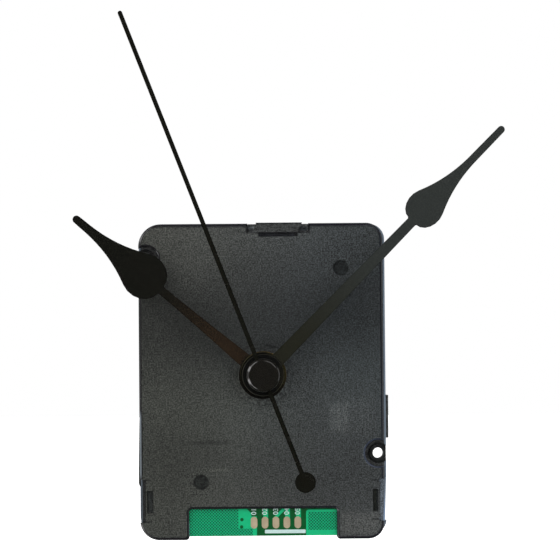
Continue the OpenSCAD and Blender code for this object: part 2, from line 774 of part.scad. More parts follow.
module magnet(p) {
    color(ferrite) tube(p, magnet_y, magnet_t, 2, 0.8);
}

module seconds_rotor() {
    rotor(seconds_rotor_p, seconds_rotor_turn);
}
module seconds_magnet() {
    magnet(seconds_rotor_p);
}
module minute_rotor() {
    rotor(minute_rotor_p, minute_rotor_turn);
}
module minute_magnet() {
    magnet(minute_rotor_p);
}

module transfer_wheel() {
    p = transfer_p;
    color(natural) {
        rod(p, mid_y + 0.1, back_y + back_t - mid_y - 0.2, pivot_r);
        train_wheel(p, fourth_wheel_y, 50, transfer_turn, 1.5);
        rod(p, fourth_wheel_y - 0.5, seconds_wheel_y - fourth_wheel_y + 0.3, 1);
        gear(p, seconds_wheel_y - 0.3, 1.3, 10, transfer_turn);
    }
}

module seconds_wheel() {
    color(natural) difference() {
        union() {
            train_wheel(shaft, seconds_wheel_y, 60, seconds_turn, 2);
            rod(shaft, seconds_wheel_y - 0.5, wheel_t + 0.9, 1.5);
        }
        rod(shaft, seconds_wheel_y - 2, 5, second_r);
        rod(at(shaft, beam_r, beam_dir - second_angle), seconds_wheel_y - 1, 3, beam_hole_r);
    }
}

module second_arbor() {
    color(steel) rod(shaft, cap_y + 1, back_y + back_t - 0.1 - cap_y - 1, second_r);
}

module third_wheel() {
    p = third_p;
    color(natural) {
        rod(p, mid_y + 0.1, back_y + back_t - mid_y - 0.2, pivot_r);
        train_wheel(p, third_wheel_y, 50, third_turn, 1.5);
        gear(p, minute_wheel_y - 0.15, 1.6, 10, third_turn);
        rod(p, third_wheel_y - 0.3, 1.3, 1);
    }
}

module fourth_wheel() {
    p = fourth_p;
    color(natural) {
        rod(p, mid_y + 0.1, back_y + back_t - mid_y - 0.2, pivot_r);
        train_wheel(p, fourth_wheel_y, 40, fourth_turn, 1.5);
        gear(p, third_wheel_y - 0.3, 1.6, 10, fourth_turn);
        rod(p, fourth_wheel_y - 0.3, 1.6, 1);
    }
}

module minute_pipe() {
    front = minute_blade_y - 0.5;
    color(natural) difference() {
        union() {
            rod(shaft, front, minute_wheel_y - front, minute_pipe_r);
            gear(shaft, motion_wheel_y - 0.3, 1.3, 15, minute_turn);
            rod(shaft, minute_wheel_y - 0.5, 1.5, 1.2);
        }
        rod(shaft, front - 1, 20, second_r + run);
    }
}

module minute_wheel() {
    color(natural) difference() {
        train_wheel(shaft, minute_wheel_y, 60, minute_turn, 2.2);
        rod(shaft, minute_wheel_y - 1, 3, 1.2);
        rod(at(shaft, beam_r, beam_dir - minute_angle), minute_wheel_y - 1, 3, beam_hole_r);
    }
}

module motion_wheel() {
    color(natural) difference() {
        union() {
            gear(motion_p, hour_wheel_y - 0.2, 1.6, 12, motion_turn);
            train_wheel(motion_p, motion_wheel_y, 45, motion_turn, 1.5);
            rod(motion_p, motion_wheel_y, 1, 1.3);
        }
        rod(motion_p, 0, 8, screw_r + run);
    }
}

module hour_wheel() {
    front = hour_blade_y - 0.3;
    color(natural) difference() {
        union() {
            rod(shaft, front, hour_wheel_y + wheel_t - front, hour_pipe_r);
            difference() {
                gear(shaft, hour_wheel_y, wheel_t, 48, hour_turn);
                rod(at(shaft, beam_r, beam_dir - hour_angle), hour_wheel_y - 1, 3, beam_hole_r);
            }
        }
        rod(shaft, front - 1, 20, minute_pipe_r + run);
    }
}

module hour_hand() {
    color(black) difference() {
        slab(hour_blade_y, blade_t) rotate(-hour_angle)
            heart_blade(hour_len, 2.3, 1.2, hour_heart, 0.537 * hour_len, 0.624 * hour_len, 0.957 * hour_len, 1.2,
                2.25, 6.8);
        rod(shaft, hour_blade_y - 1, 3, hour_pipe_r);
    }
}

module hour_hub() {
    color(brassy) tube(shaft, hour_blade_y + blade_t, 0.6, 3.4, hour_pipe_r);
}

module minute_hand() {
    color(black) difference() {
        slab(minute_blade_y, blade_t) rotate(-minute_angle)
            heart_blade(minute_len, 2.1, 1.45, minute_heart, 0.619 * minute_len, 0.67 * minute_len, 0.882 * minute_len,
                1.1, 2.2, 6);
        rod(shaft, minute_blade_y - 1, 3, minute_pipe_r);
    }
}

module minute_hub() {
    color(brassy) tube(shaft, minute_blade_y + blade_t, 0.9, 2.6, minute_pipe_r);
}

module second_hand() {
    color(black) difference() {
        union() {
            slab(second_blade_y, 0.3) rotate(-second_angle) {
                translate([-second_w / 2, -tail_len]) square([second_w, tail_len + second_len - second_w / 2]);
                translate([0, second_len - second_w / 2]) circle(second_w / 2);
                translate([0, -tail_len]) circle(tail_disc_r);
                circle(2);
            }
            rod(shaft, second_blade_y, 1.2, 1.2);
        }
        rod(shaft, second_blade_y - 1, 3, second_r);
    }
}

// glossy cap over the middle of the second hand
module second_cap() {
    t = second_blade_y - cap_y;
    color(black) difference() {
        translate([0, second_blade_y, 0]) rotate([90, 0, 0]) rotate_extrude() {
            square([3.7, t]);
            square([4.8, t - 1.1]);
            translate([3.7, t - 1.1]) circle(1.1);
        }
        rod(shaft, cap_y + 0.9, 5, second_r);
    }
}

module left_plunger() {
    plunger(0);
}
module middle_plunger() {
    plunger(1);
}
module right_plunger() {
    plunger(2);
}
module left_button() {
    button(0);
}
module middle_button() {
    button(1);
}
module right_button() {
    button(2);
}

front_case();
rear_case();
centre_bush();
circuit_board();
test_pads();
clock_chip();
crystals();
capacitors();
tact_switches();
left_plunger();
middle_plunger();
right_plunger();
left_button();
middle_button();
right_button();
infrared_emitter();
photo_sensor();
sensor_board();
ferrite_rod();
antenna_bobbin();
antenna_coil();
contact_positive();
contact_negative();
mid_plate();
rear_plate();
plate_screws();
seconds_stator();
seconds_core();
seconds_bobbin();
seconds_coil();
minute_stator();
minute_core();
minute_bobbin();
minute_coil();
seconds_rotor();
seconds_magnet();
minute_rotor();
minute_magnet();
transfer_wheel();
seconds_wheel();
second_arbor();
third_wheel();
fourth_wheel();
minute_pipe();
minute_wheel();
motion_wheel();
hour_wheel();
hour_hand();
hour_hub();
minute_hand();
minute_hub();
second_hand();
second_cap();
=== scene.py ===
# %% [markdown]
# # A radio-controlled clock movement
#
# This file dresses the movement of a radio-controlled wall clock: a flat
# charcoal case with a brass bush in its middle, three black hands, a strip
# of green circuit board below, and a gear train inside. The shapes of the
# working parts come ready from the frame, in metres, with the shaft on the
# Y axis, twelve o'clock along +Z and the viewer on the -Y side. What is
# added here is what a drawing of solids leaves out: the grain of the mould,
# the sheen of lacquer, the printed board, the screw thread and the wire.

# %% Load the frame
import bpy
import bmesh
import math
from mathutils import Matrix, Vector

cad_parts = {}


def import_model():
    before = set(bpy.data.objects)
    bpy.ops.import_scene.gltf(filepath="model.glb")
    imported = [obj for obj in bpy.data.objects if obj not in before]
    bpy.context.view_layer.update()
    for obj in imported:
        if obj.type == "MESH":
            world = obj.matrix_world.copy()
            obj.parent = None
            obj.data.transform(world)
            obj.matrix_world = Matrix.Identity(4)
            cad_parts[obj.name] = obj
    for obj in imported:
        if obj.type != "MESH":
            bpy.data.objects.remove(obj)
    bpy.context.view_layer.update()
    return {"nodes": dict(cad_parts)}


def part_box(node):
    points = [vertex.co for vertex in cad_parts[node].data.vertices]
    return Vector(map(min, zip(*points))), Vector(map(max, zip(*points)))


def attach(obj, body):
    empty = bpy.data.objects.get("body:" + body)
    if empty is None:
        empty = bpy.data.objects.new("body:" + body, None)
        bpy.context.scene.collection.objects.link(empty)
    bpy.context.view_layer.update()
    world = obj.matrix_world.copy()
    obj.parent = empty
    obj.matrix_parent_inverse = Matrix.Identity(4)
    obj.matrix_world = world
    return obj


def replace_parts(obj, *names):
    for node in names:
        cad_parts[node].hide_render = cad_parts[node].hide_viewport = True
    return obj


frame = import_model()
nodes = frame["nodes"]
MM = 0.001
WELD = 1e-7

# %% [markdown]
# ## Three small helpers
#
# A colour is given in sRGB, as on a screen, but a shader works with linear light, so one function turns a hex
# value into linear numbers. One helper adds a node with its settings and its links in a single line, which
# keeps a long node tree readable. A third starts a material with a Principled shader and the object's own
# coordinates in millimetres: they stay with the part when it turns, and every pattern below can then be given
# in real millimetres.

# %% Helpers
def linear(hex_colour):
    parts = [int(hex_colour[i:i + 2], 16) / 255 for i in (1, 3, 5)]
    return tuple(c / 12.92 if c <= 0.04045 else ((c + 0.055) / 1.055) ** 2.4
                 for c in parts) + (1.0,)


def add(tree, kind, inputs=None, **settings):
    made = tree.nodes.new(kind)
    for name, value in settings.items():
        setattr(made, name, value)
    for name, value in (inputs or {}).items():
        if isinstance(value, bpy.types.NodeSocket):
            tree.links.new(value, made.inputs[name])
        else:
            made.inputs[name].default_value = value
    return made


def finish_named(name, roughness, metallic=0.0, **sockets):
    material = bpy.data.materials.new(name)
    material.use_nodes = True
    tree = material.node_tree
    shader = tree.nodes["Principled BSDF"]
    shader.inputs["Roughness"].default_value = roughness
    shader.inputs["Metallic"].default_value = metallic
    for socket, value in sockets.items():
        shader.inputs[socket.replace("_", " ")].default_value = value
    place = add(tree, "ShaderNodeTexCoord")
    mm = add(tree, "ShaderNodeVectorMath", {0: place.outputs["Object"], 3: 1 / MM}, operation="SCALE")
    return material, tree, shader, mm.outputs["Vector"]


print("black ABS in linear light:", [round(c, 4) for c in linear("#2c2d2d")[:3]])

# %% [markdown]
# ## Marks that stay in one place
#
# No moulded or lacquered surface is the same all over, and neither is the light on it. A painted picture would
# show its stains and shadows, but it smears on the edges and can't be changed by a number. Here a mark
# multiplies the colour inside one round or square field and fades out over a blurred rim, and many of the marks
# paint light or shade into the colour. A mark is given in millimetres from the shaft: kind, centre, half sizes,
# blur and colour factor. Two round marks, the second smaller and undoing the first, leave a crescent or a thin
# ring of painted light.

# %% Helpers for marks
# how far a mark reaches along the shaft, in front and behind, in millimetres
MARK_DEPTH = {"round": 100.0, "square": 6.0}


def crescent(outer, radius, inner, smaller, blur, factor):
    undo = tuple(1 / share for share in factor)
    return [("round", outer, (radius, radius), blur, factor),
            ("round", inner, (smaller, smaller), blur, undo)]


def with_marks(tree, mm, colour, marks):
    for kind, centre, half, blur, factor in marks:
        local = add(tree, "ShaderNodeMapping",
                    {"Vector": mm, "Location": (centre[0], 0.0, centre[1]),
                     "Scale": (half[0], MARK_DEPTH[kind], half[1])}, vector_type="TEXTURE")
        if kind == "round":
            reach = add(tree, "ShaderNodeVectorMath", {0: local.outputs[0]},
                        operation="LENGTH").outputs["Value"]
        else:
            size = add(tree, "ShaderNodeVectorMath", {0: local.outputs[0]}, operation="ABSOLUTE")
            parts = add(tree, "ShaderNodeSeparateXYZ", {0: size.outputs[0]})
            reach = add(tree, "ShaderNodeMath", {0: parts.outputs[0], 1: parts.outputs[2]},
                        operation="MAXIMUM").outputs[0]
            reach = add(tree, "ShaderNodeMath", {0: parts.outputs[1], 1: reach},
                        operation="MAXIMUM").outputs[0]
        cover = add(tree, "ShaderNodeMapRange",
                    {"Value": reach, "From Min": 1 - blur, "From Max": 1 + blur,
                     "To Min": 1.0, "To Max": 0.0}, interpolation_type="SMOOTHSTEP")
        colour = add(tree, "ShaderNodeMix",
                     {"Factor": cover.outputs[0], "A": colour, "B": factor + (1.0,)},
                     data_type="RGBA", blend_type="MULTIPLY").outputs["Result"]
    return colour


print("marks reach, mm each way:", MARK_DEPTH)

# %% [markdown]
# ## Moulded plastic
#
# The case is ABS. The steel of its mould was spark eroded, and each part that leaves the mould carries the
# print of those craters: a fine even grain that breaks the reflections into flecks. The grain is a noise in
# millimetres that drives bump, roughness and a little colour together. The real craters are about 0.1 mm wide,
# too fine to show at this distance, so they are drawn four times as coarse, over a soft mottling three times
# wider. The walls and the rounding of the rim were never eroded: wherever a face turns away from the Y axis the
# grain fades out, and the plastic is dark and polished, and mirrors the room in a thin line. It could be a
# second material, but then every part would need its faces sorted by hand. The part of the rounding that still
# faces forward takes a lip colour of its own, which on the rear part is a painted bluish highlight.

# %% A recipe for moulded plastic
REAL_CRATER = 0.105
CASE_GRAIN = 4 * REAL_CRATER


def moulded(name, dark, light, grain, depth, roughness, fleck=0.5, marks=(), edges=None, **sockets):
    material, tree, shader, mm = finish_named(name, roughness, **sockets)
    craters = add(tree, "ShaderNodeTexNoise",
                  {"Vector": mm, "Scale": 1 / grain, "Detail": 3.0, "Roughness": 0.6}).outputs["Fac"]
    mottle = add(tree, "ShaderNodeTexNoise",
                 {"Vector": mm, "Scale": 0.3 / grain, "Detail": 2.0, "Roughness": 0.5}).outputs["Fac"]
    cloud = add(tree, "ShaderNodeTexNoise",
                {"Vector": mm, "Scale": 0.045, "Detail": 4.0, "Roughness": 0.55}).outputs["Fac"]
    share = 0.0
    for noise, low, high, most in ((craters, 0.42, 0.64, fleck), (mottle, 0.34, 0.68, 0.25 * fleck),
                                   (cloud, 0.3, 0.7, 0.15)):
        layer = add(tree, "ShaderNodeMapRange", {"Value": noise, "From Min": low, "From Max": high,
                                                 "To Min": 0.0, "To Max": most})
        share = add(tree, "ShaderNodeMath", {0: layer.outputs[0], 1: share}, operation="ADD").outputs[0]
    colour = add(tree, "ShaderNodeMix", {"Factor": share, "A": linear(dark), "B": linear(light)},
                 data_type="RGBA").outputs["Result"]
    rough = add(tree, "ShaderNodeMapRange",
                {"Value": craters, "From Min": 0.3, "From Max": 0.7,
                 "To Min": roughness - 0.08, "To Max": roughness + 0.1}).outputs[0]
    bump = add(tree, "ShaderNodeBump", {"Height": craters, "Strength": 1.0, "Distance": depth * MM})
    if edges:
        wall_colour, wall_roughness, lip_colour = edges
        facing = add(tree, "ShaderNodeTexCoord").outputs["Normal"]
        facing = add(tree, "ShaderNodeSeparateXYZ", {0: facing}).outputs[1]
        flat = add(tree, "ShaderNodeMath", {0: facing}, operation="ABSOLUTE").outputs[0]
        flat = add(tree, "ShaderNodeMapRange",
                   {"Value": flat, "From Min": 0.99, "From Max": 0.9999}).outputs[0]
        # the lip is the part of the rounding that still faces forward, along -Y; its colour can be a painted
        # highlight
        lip = add(tree, "ShaderNodeMapRange", {"Value": facing, "From Min": -0.35, "From Max": -0.15,
                                               "To Min": 1.0, "To Max": 0.0}).outputs[0]
        wall = add(tree, "ShaderNodeMix", {"Factor": lip, "A": linear(wall_colour), "B": linear(lip_colour)},
                   data_type="RGBA").outputs["Result"]
        colour = add(tree, "ShaderNodeMix", {"Factor": flat, "A": wall, "B": colour},
                     data_type="RGBA").outputs["Result"]
        rough = add(tree, "ShaderNodeMix",
                    {"Factor": flat, "A": wall_roughness, "B": rough}).outputs["Result"]
        tree.links.new(flat, bump.inputs["Strength"])
    tree.links.new(with_marks(tree, mm, colour, marks), shader.inputs["Base Color"])
    tree.links.new(rough, shader.inputs["Roughness"])
    tree.links.new(bump.outputs["Normal"], shader.inputs["Normal"])
    return material


print("craters of the case, mm:", REAL_CRATER, "real,", round(CASE_GRAIN, 2), "drawn")

# %% [markdown]
# ## Where the case is lighter or darker
#
# The front plate carries painted shade above its middle, a cool painted light to the right, a warmer tone to
# the left and patches of painted light and shade. It is darker in its two dimples and rubbed in one place, has
# painted shade in the gaps round the snap tongues and in its lug pocket, and painted highlights on its rims and
# walls. The tongues belong to the rear part and show through the front one, with painted highlights and shade
# of their own. They could be separate materials, but marks leave one plastic for each part, as it was moulded.

# %% Marks on the case
face_marks_and_painted_light = [
    # broad fields of painted light and shade: painted shade above the middle, cool painted light to the right,
    # warmer to the left
    ("round", (0.0, 15.0), (90.0, 15.0), 0.9, (0.5, 0.5, 0.52)),
    ("round", (44.0, 22.0), (48.0, 60.0), 0.7, (0.8, 0.9, 0.98)),
    ("round", (-46.0, -12.0), (46.0, 70.0), 0.7, (0.98, 1.0, 0.86)),
    # patches of painted light and shade across the plate
    ("round", (-13.0, 40.0), (26.0, 18.0), 0.6, (1.32, 1.28, 1.27)),
    ("round", (28.0, 7.0), (14.0, 12.0), 0.7, (1.15, 1.2, 1.18)),
    ("round", (-25.0, -24.0), (14.0, 11.0), 0.7, (0.8, 0.8, 0.8)),
    ("round", (22.0, -22.0), (14.0, 13.0), 0.7, (0.92, 0.92, 0.92)),
    # painted light round the hub, against the shadow of the hands
    ("round", (3.0, 2.0), (17.0, 17.0), 0.8, (1.3, 1.3, 1.3)),
    # a lighter patch at the lower right
    ("square", (27.8, -43.0), (5.6, 3.2), 0.4, (1.5, 1.45, 1.4)),
    # the two dimples
    ("round", (22.9, 30.7), (2.2, 2.2), 0.12, (0.3, 0.34, 0.34)),
    ("round", (-17.7, -30.7), (2.2, 2.2), 0.12, (0.3, 0.34, 0.34)),
    # the rubbed patch at the lower right and two faint streaks at the lower left
    ("square", (21.9, -12.4), (2.5, 4.0), 0.2, (1.5, 1.46, 1.44)),
    ("square", (27.5, -12.0), (4.0, 5.5), 0.3, (1.22, 1.2, 1.18)),
    ("square", (22.0, -11.8), (0.35, 5.2), 0.5, (1.16, 1.14, 1.12)),
    ("square", (-15.7, -19.4), (5.6, 0.45), 0.7, (0.55, 0.55, 0.56)),
    ("square", (-13.7, -27.2), (3.6, 0.4), 0.7, (1.6, 1.6, 1.55)),
    # painted shade on the rounding of the rim at the top and the bottom, painted bluish highlights on the left
    # wall and the window wall, and a line of painted shade inside the left one
    ("square", (0.0, 42.85), (30.5, 0.3), 0.5, (0.42, 0.42, 0.46)),
    ("square", (0.0, -46.5), (31.0, 0.3), 0.5, (0.6, 0.6, 0.64)),
    ("square", (-35.2, -20.0), (0.35, 9.0), 0.15, (11.0, 12.4, 13.2)),
    ("square", (-34.6, -20.0), (0.22, 9.0), 0.15, (0.5, 0.5, 0.52)),
    ("square", (-21.05, -44.6), (0.25, 2.4), 0.3, (9.0, 13.0, 16.0)),
    # painted shade in the gaps round the snap tongues: top, right, left
    ("square", (-4.1, 42.4), (0.25, 1.5), 0.4, (0.2, 0.2, 0.23)),
    ("square", (13.9, 42.4), (0.25, 1.5), 0.4, (0.2, 0.2, 0.23)),
    ("square", (4.9, 41.1), (9.2, 0.2), 0.4, (0.25, 0.25, 0.28)),
    ("square", (32.2, -30.4), (0.9, 0.2), 0.4, (0.2, 0.2, 0.23)),
    ("square", (32.2, -41.6), (0.9, 0.2), 0.4, (0.2, 0.2, 0.23)),
    ("square", (-33.0, -30.0), (0.9, 0.2), 0.4, (0.3, 0.3, 0.33)),
    ("square", (-33.0, -42.0), (0.9, 0.2), 0.4, (0.3, 0.3, 0.33)),
    # the right screw lug: painted shade in its pocket and a painted highlight on its rim
    ("round", (33.35, -22.7), (3.0, 3.0), 0.1, (0.35, 0.38, 0.37)),
    *crescent((33.05, -22.7), 4.2, (33.4, -22.7), 3.85, 0.04, (3.0, 3.3, 3.6)),
    # a faint line of painted shade along the edge of the pad round the bush
    *crescent((0.0, 0.2), 8.95, (0.0, 0.1), 8.7, 0.015, (0.68, 0.68, 0.7)),
]
tongue_painted_light_and_shade = [
    # the right tongue in a painted bluish highlight, painted shade along its outline and in its side window
    ("square", (33.8, -36.0), (1.1, 6.2), 0.15, (2.0, 2.3, 2.8)),
    ("square", (32.9, -36.0), (0.3, 5.4), 0.4, (0.4, 0.42, 0.44)),
    ("square", (32.3, -35.8), (0.8, 3.4), 0.1, (0.3, 0.36, 0.26)),
    # the left tongue, darker, and painted shade in its side window
    ("square", (-35.0, -36.0), (1.3, 6.6), 0.1, (0.4, 0.4, 0.4)),
    ("square", (-32.4, -35.8), (1.0, 3.4), 0.1, (0.5, 0.56, 0.54)),
    # the top tongue: painted shade on its edge, in its slot and in the recesses beside it, and a painted glint
    # on one wing
    ("square", (4.9, 43.75), (9.0, 0.25), 0.4, (0.3, 0.3, 0.34)),
    ("square", (4.7, 40.5), (5.7, 0.6), 0.15, (0.36, 0.38, 0.5)),
    ("square", (-3.2, 42.3), (0.9, 0.9), 0.2, (0.5, 0.52, 0.55)),
    ("square", (-2.9, 42.5), (0.8, 0.2), 0.6, (4.0, 4.2, 4.4)),
    ("square", (12.2, 42.0), (1.1, 0.7), 0.15, (0.3, 0.34, 0.4)),
    # painted shade on the floor of the lug pocket
    ("round", (33.35, -22.7), (3.0, 3.0), 0.1, (0.35, 0.38, 0.37)),
]
print("marks:", len(face_marks_and_painted_light), "on the front plate,", len(tongue_painted_light_and_shade), "on the rear part")

# %% Mix the plastics
case_abs = moulded("charcoal_abs_spark_eroded", "#070706", "#515351", CASE_GRAIN, 0.035, 0.45, 0.8,
                   face_marks_and_painted_light, edges=("#202024", 0.16, "#202024"))
# the rear part's bluish grey lip colour is a painted highlight on the rounding that faces forward
back_abs = moulded("charcoal_abs_fine_eroded", "#090909", "#4c4e4d", 0.35, 0.02, 0.4, 0.8, tongue_painted_light_and_shade,
                  edges=("#1c1d20", 0.3, "#66727e"))
button_abs = moulded("grey_abs_moulded", "#202122", "#3a3b3c", 0.2, 0.008, 0.36)
natural_acetal = moulded("natural_acetal_moulded", "#d8d5c8", "#efece2", 0.6, 0.004, 0.38,
                         Subsurface_Weight=0.1)
plate_abs = moulded("grey_abs_frame_plate", "#8a8c88", "#b4b5b0", 0.4, 0.01, 0.45)
bobbin_nylon = moulded("natural_nylon_bobbin", "#cfccbd", "#e6e3d6", 0.5, 0.006, 0.42)
print("plastics:", *(m.name for m in (case_abs, back_abs, button_abs, natural_acetal, plate_abs, bobbin_nylon)))

# %% [markdown]
# ## Black lacquer on the hands
#
# The hands are stamped from thin aluminium sheet and stoved with a matt black lacquer. Lacquer settles in a
# soft unevenness called orange peel, here about 0.8 mm from hill to hill and a few thousandths high, which lets
# the light slide along a hand instead of lying on it as a flat patch. The minute hand's lacquer is painted a
# lighter grey, a painted sheen. Near the hub the hour hand takes a brown painted sheen and the minute hand
# turns darker and browner; both hubs carry painted shade and a thin ring of painted highlight, with a brassy
# painted reflection on the hour hand's hub and an olive one on the minute hand's. The cap in the middle is
# smooth black moulding with a polish, so it mirrors the soft boxes in its rounded shoulder.

# %% Lacquer and polished cap
def lacquered(name, dark, light, roughness, peel, height, marks=(), **sockets):
    material, tree, shader, mm = finish_named(name, roughness, **sockets)
    hills = add(tree, "ShaderNodeTexNoise", {"Vector": mm, "Scale": 1 / peel, "Detail": 2.0})
    dust = add(tree, "ShaderNodeTexNoise", {"Vector": mm, "Scale": 4.5, "Detail": 1.0})
    share = add(tree, "ShaderNodeMapRange", {"Value": dust.outputs["Fac"], "From Min": 0.45, "From Max": 0.75})
    colour = add(tree, "ShaderNodeMix", {"Factor": share.outputs["Result"], "A": linear(dark),
                                         "B": linear(light)}, data_type="RGBA")
    tree.links.new(with_marks(tree, mm, colour.outputs["Result"], marks), shader.inputs["Base Color"])
    rough = add(tree, "ShaderNodeMapRange", {"Value": hills.outputs["Fac"], "From Min": 0.3, "From Max": 0.7,
                                             "To Min": roughness - 0.05, "To Max": roughness + 0.05})
    tree.links.new(rough.outputs["Result"], shader.inputs["Roughness"])
    bump = add(tree, "ShaderNodeBump",
               {"Height": hills.outputs["Fac"], "Strength": 1.0, "Distance": height * MM})
    tree.links.new(bump.outputs["Normal"], shader.inputs["Normal"])
    return material


# painted light on the hour hand: a brown painted sheen near the hub, painted shade on the hub, a thin ring of
# painted highlight and a brassy painted reflection
hour_hand_painted_light = [("round", (0.0, 0.0), (26.0, 26.0), 0.6, (3.3, 2.0, 1.5)),
                 ("round", (0.0, 0.0), (7.0, 7.0), 0.1, (0.25, 0.4, 0.5)),
                 *crescent((0.4, 0.25), 6.75, (0.3, 0.0), 6.6, 0.01, (6.0, 5.8, 4.4)),
                 ("round", (5.0, 2.5), (4.0, 5.0), 0.5, (4.6, 4.2, 2.2))]
# painted light on the minute hand: darker and browner near the hub so its painted sheen grows outwards, painted
# shade on the hub, a thin ring of painted highlight and an olive painted reflection
minute_hand_painted_light = [("round", (0.0, 0.0), (32.0, 32.0), 0.7, (0.56, 0.5, 0.33)),
                   ("round", (0.0, 0.0), (6.2, 6.2), 0.05, (0.3, 0.3, 0.42)),
                   *crescent((0.0, 0.0), 6.0, (0.12, 0.04), 5.82, 0.01, (5.0, 4.8, 4.2)),
                   ("round", (4.6, -0.8), (1.6, 3.2), 0.5, (2.6, 2.4, 1.7))]
hand_lacquer = lacquered("black_stoved_lacquer", "#0f0f0b", "#1a1a14", 0.22, 0.8, 0.004,
                         hour_hand_painted_light, Specular_IOR_Level=0.35)
second_lacquer = lacquered("black_stoved_lacquer_fine", "#11110b", "#15150e", 0.24, 2.4, 0.002,
                           Specular_IOR_Level=0.3)
# the minute hand's lighter grey lacquer is a painted sheen
minute_lacquer = lacquered("black_stoved_lacquer_painted_sheen", "#2a2d2b", "#333633", 0.22, 0.8, 0.004,
                           minute_hand_painted_light, Specular_IOR_Level=0.4)
cap_gloss = lacquered("black_polished_cap", "#12110e", "#1d1b16", 0.14, 1.6, 0.003, Coat_Weight=0.4)
print("lacquers:", hand_lacquer.name, second_lacquer.name, minute_lacquer.name, cap_gloss.name)

# %% [markdown]
# ## Turned, stamped and drawn metal
#
# Brass parts are turned on a lathe, and the tool leaves rings round the
# shaft; stamped steel keeps the fine straight lines of the rolling mill. In
# both cases the lines are a wave in the bump: round the Y axis for turned
# parts, straight for sheet. Metals keep the shader's default IOR, and take
# their colour from the base colour.

# %% A recipe for metal
def metal(name, dark, light, roughness, pitch, height, turned):
    material, tree, shader, mm = finish_named(name, roughness, metallic=1.0)
    parts = add(tree, "ShaderNodeSeparateXYZ", {0: mm})
    if turned:
        flat = add(tree, "ShaderNodeCombineXYZ", {0: parts.outputs[0], 1: 0.0, 2: parts.outputs[2]})
        radius = add(tree, "ShaderNodeVectorMath", {0: flat.outputs[0]}, operation="LENGTH")
        run = add(tree, "ShaderNodeMath", {0: radius.outputs["Value"], 1: parts.outputs[1]}, operation="ADD")
        along = add(tree, "ShaderNodeCombineXYZ", {0: run.outputs[0], 1: 0.0, 2: 0.0})
    else:
        along = add(tree, "ShaderNodeCombineXYZ", {0: parts.outputs[0], 1: parts.outputs[1], 2: 0.0})
    lines = add(tree, "ShaderNodeTexNoise", {"Vector": along.outputs[0], "Scale": 1 / pitch, "Detail": 2.0})
    stain = add(tree, "ShaderNodeTexNoise", {"Vector": mm, "Scale": 0.5, "Detail": 3.0})
    colour = add(tree, "ShaderNodeMix", {"Factor": stain.outputs["Fac"], "A": linear(dark), "B": linear(light)},
                 data_type="RGBA")
    tree.links.new(colour.outputs["Result"], shader.inputs["Base Color"])
    rough = add(tree, "ShaderNodeMapRange", {"Value": stain.outputs["Fac"], "From Min": 0.3, "From Max": 0.7,
                                             "To Min": roughness - 0.06, "To Max": roughness + 0.08})
    tree.links.new(rough.outputs["Result"], shader.inputs["Roughness"])
    bump = add(tree, "ShaderNodeBump",
               {"Height": lines.outputs["Fac"], "Strength": 1.0, "Distance": height * MM})
    tree.links.new(bump.outputs["Normal"], shader.inputs["Normal"])
    return material


turned_brass = metal("brass_turned", "#8f7442", "#c2a468", 0.3, 0.12, 0.004, True)
spring_steel = metal("nickelled_spring_steel", "#a9a79f", "#c9c7c0", 0.26, 0.15, 0.002, False)
core_steel = metal("stamped_core_steel", "#7e8083", "#a2a4a6", 0.34, 0.15, 0.003, False)
arbor_steel = metal("drawn_arbor_steel", "#9b9c9d", "#bfc0c0", 0.22, 0.1, 0.002, True)
can_steel = metal("tinned_drawn_can", "#a8a9aa", "#cfd0d0", 0.28, 0.2, 0.003, False)
print("metals:", turned_brass.name, spring_steel.name, core_steel.name, arbor_steel.name, can_steel.name)

# %% [markdown]
# ## Enamelled wire, sintered magnet and cast resin
#
# Winding wire is copper under a clear brown enamel, so it is a metal with a
# warm colour and a coat. Ferrite, in the aerial rod and the rotor magnets,
# is pressed powder fired in a kiln: dark grey, dull and slightly gritty.
# The chip under its black drop is cast epoxy, smooth as liquid was.

# %% Wire, ferrite and resin
wire_enamel = metal("enamelled_copper_wire", "#7d3f1d", "#a65a2b", 0.3, 0.3, 0.001, False)
wire_enamel.node_tree.nodes["Principled BSDF"].inputs["Coat Weight"].default_value = 0.5
ferrite = moulded("sintered_ferrite", "#232426", "#43454a", 0.15, 0.006, 0.55)
magnet_ferrite = moulded("bonded_magnet_ferrite", "#2a2a2c", "#3d3d40", 0.12, 0.004, 0.5)
cast_resin = lacquered("black_cast_resin", "#0a0a0a", "#141414", 0.25, 2.5, 0.01)
dark_lens = lacquered("dark_epoxy_lens", "#120a0c", "#1c1013", 0.12, 3.0, 0.002, Coat_Weight=0.3)
print("others:", wire_enamel.name, ferrite.name, magnet_ferrite.name, cast_resin.name, dark_lens.name)

# %% [markdown]
# ## The printed board
#
# A circuit board is glass cloth in epoxy, with copper on it and a green
# lacquer, the solder mask, over everything but the pads. Seen through the
# mask, copper looks pale green and bare epoxy dark green. Where the copper
# lies is worked out from x and z in millimetres, so that nothing is painted
# and every edge stays sharp. A field is 1 inside and 0 outside; one helper
# starts a field after an edge, and the others turn it over or join it with
# more fields.

# %% Fields on the board
board, tree, board_shader, mm = finish_named("green_solder_mask_on_epoxy", 0.3, Specular_IOR_Level=0.3)
parts = add(tree, "ShaderNodeSeparateXYZ", {0: mm})
x, z = parts.outputs[0], parts.outputs[2]
u = add(tree, "ShaderNodeMath", {0: x, 1: z}, operation="ADD").outputs[0]
v = add(tree, "ShaderNodeMath", {0: x, 1: z}, operation="SUBTRACT").outputs[0]


def after(value, edge, blur=0.06):
    return add(tree, "ShaderNodeMapRange", {"Value": value, "From Min": edge - blur,
                                            "From Max": edge + blur}).outputs[0]


def outside(field):
    return add(tree, "ShaderNodeMath", {0: 1.0, 1: field}, operation="SUBTRACT").outputs[0]


def before(value, edge):
    return outside(after(value, edge))


def joined(how, first, *others):
    for other in others:
        first = add(tree, "ShaderNodeMath", {0: first, 1: other}, operation=how).outputs[0]
    return first


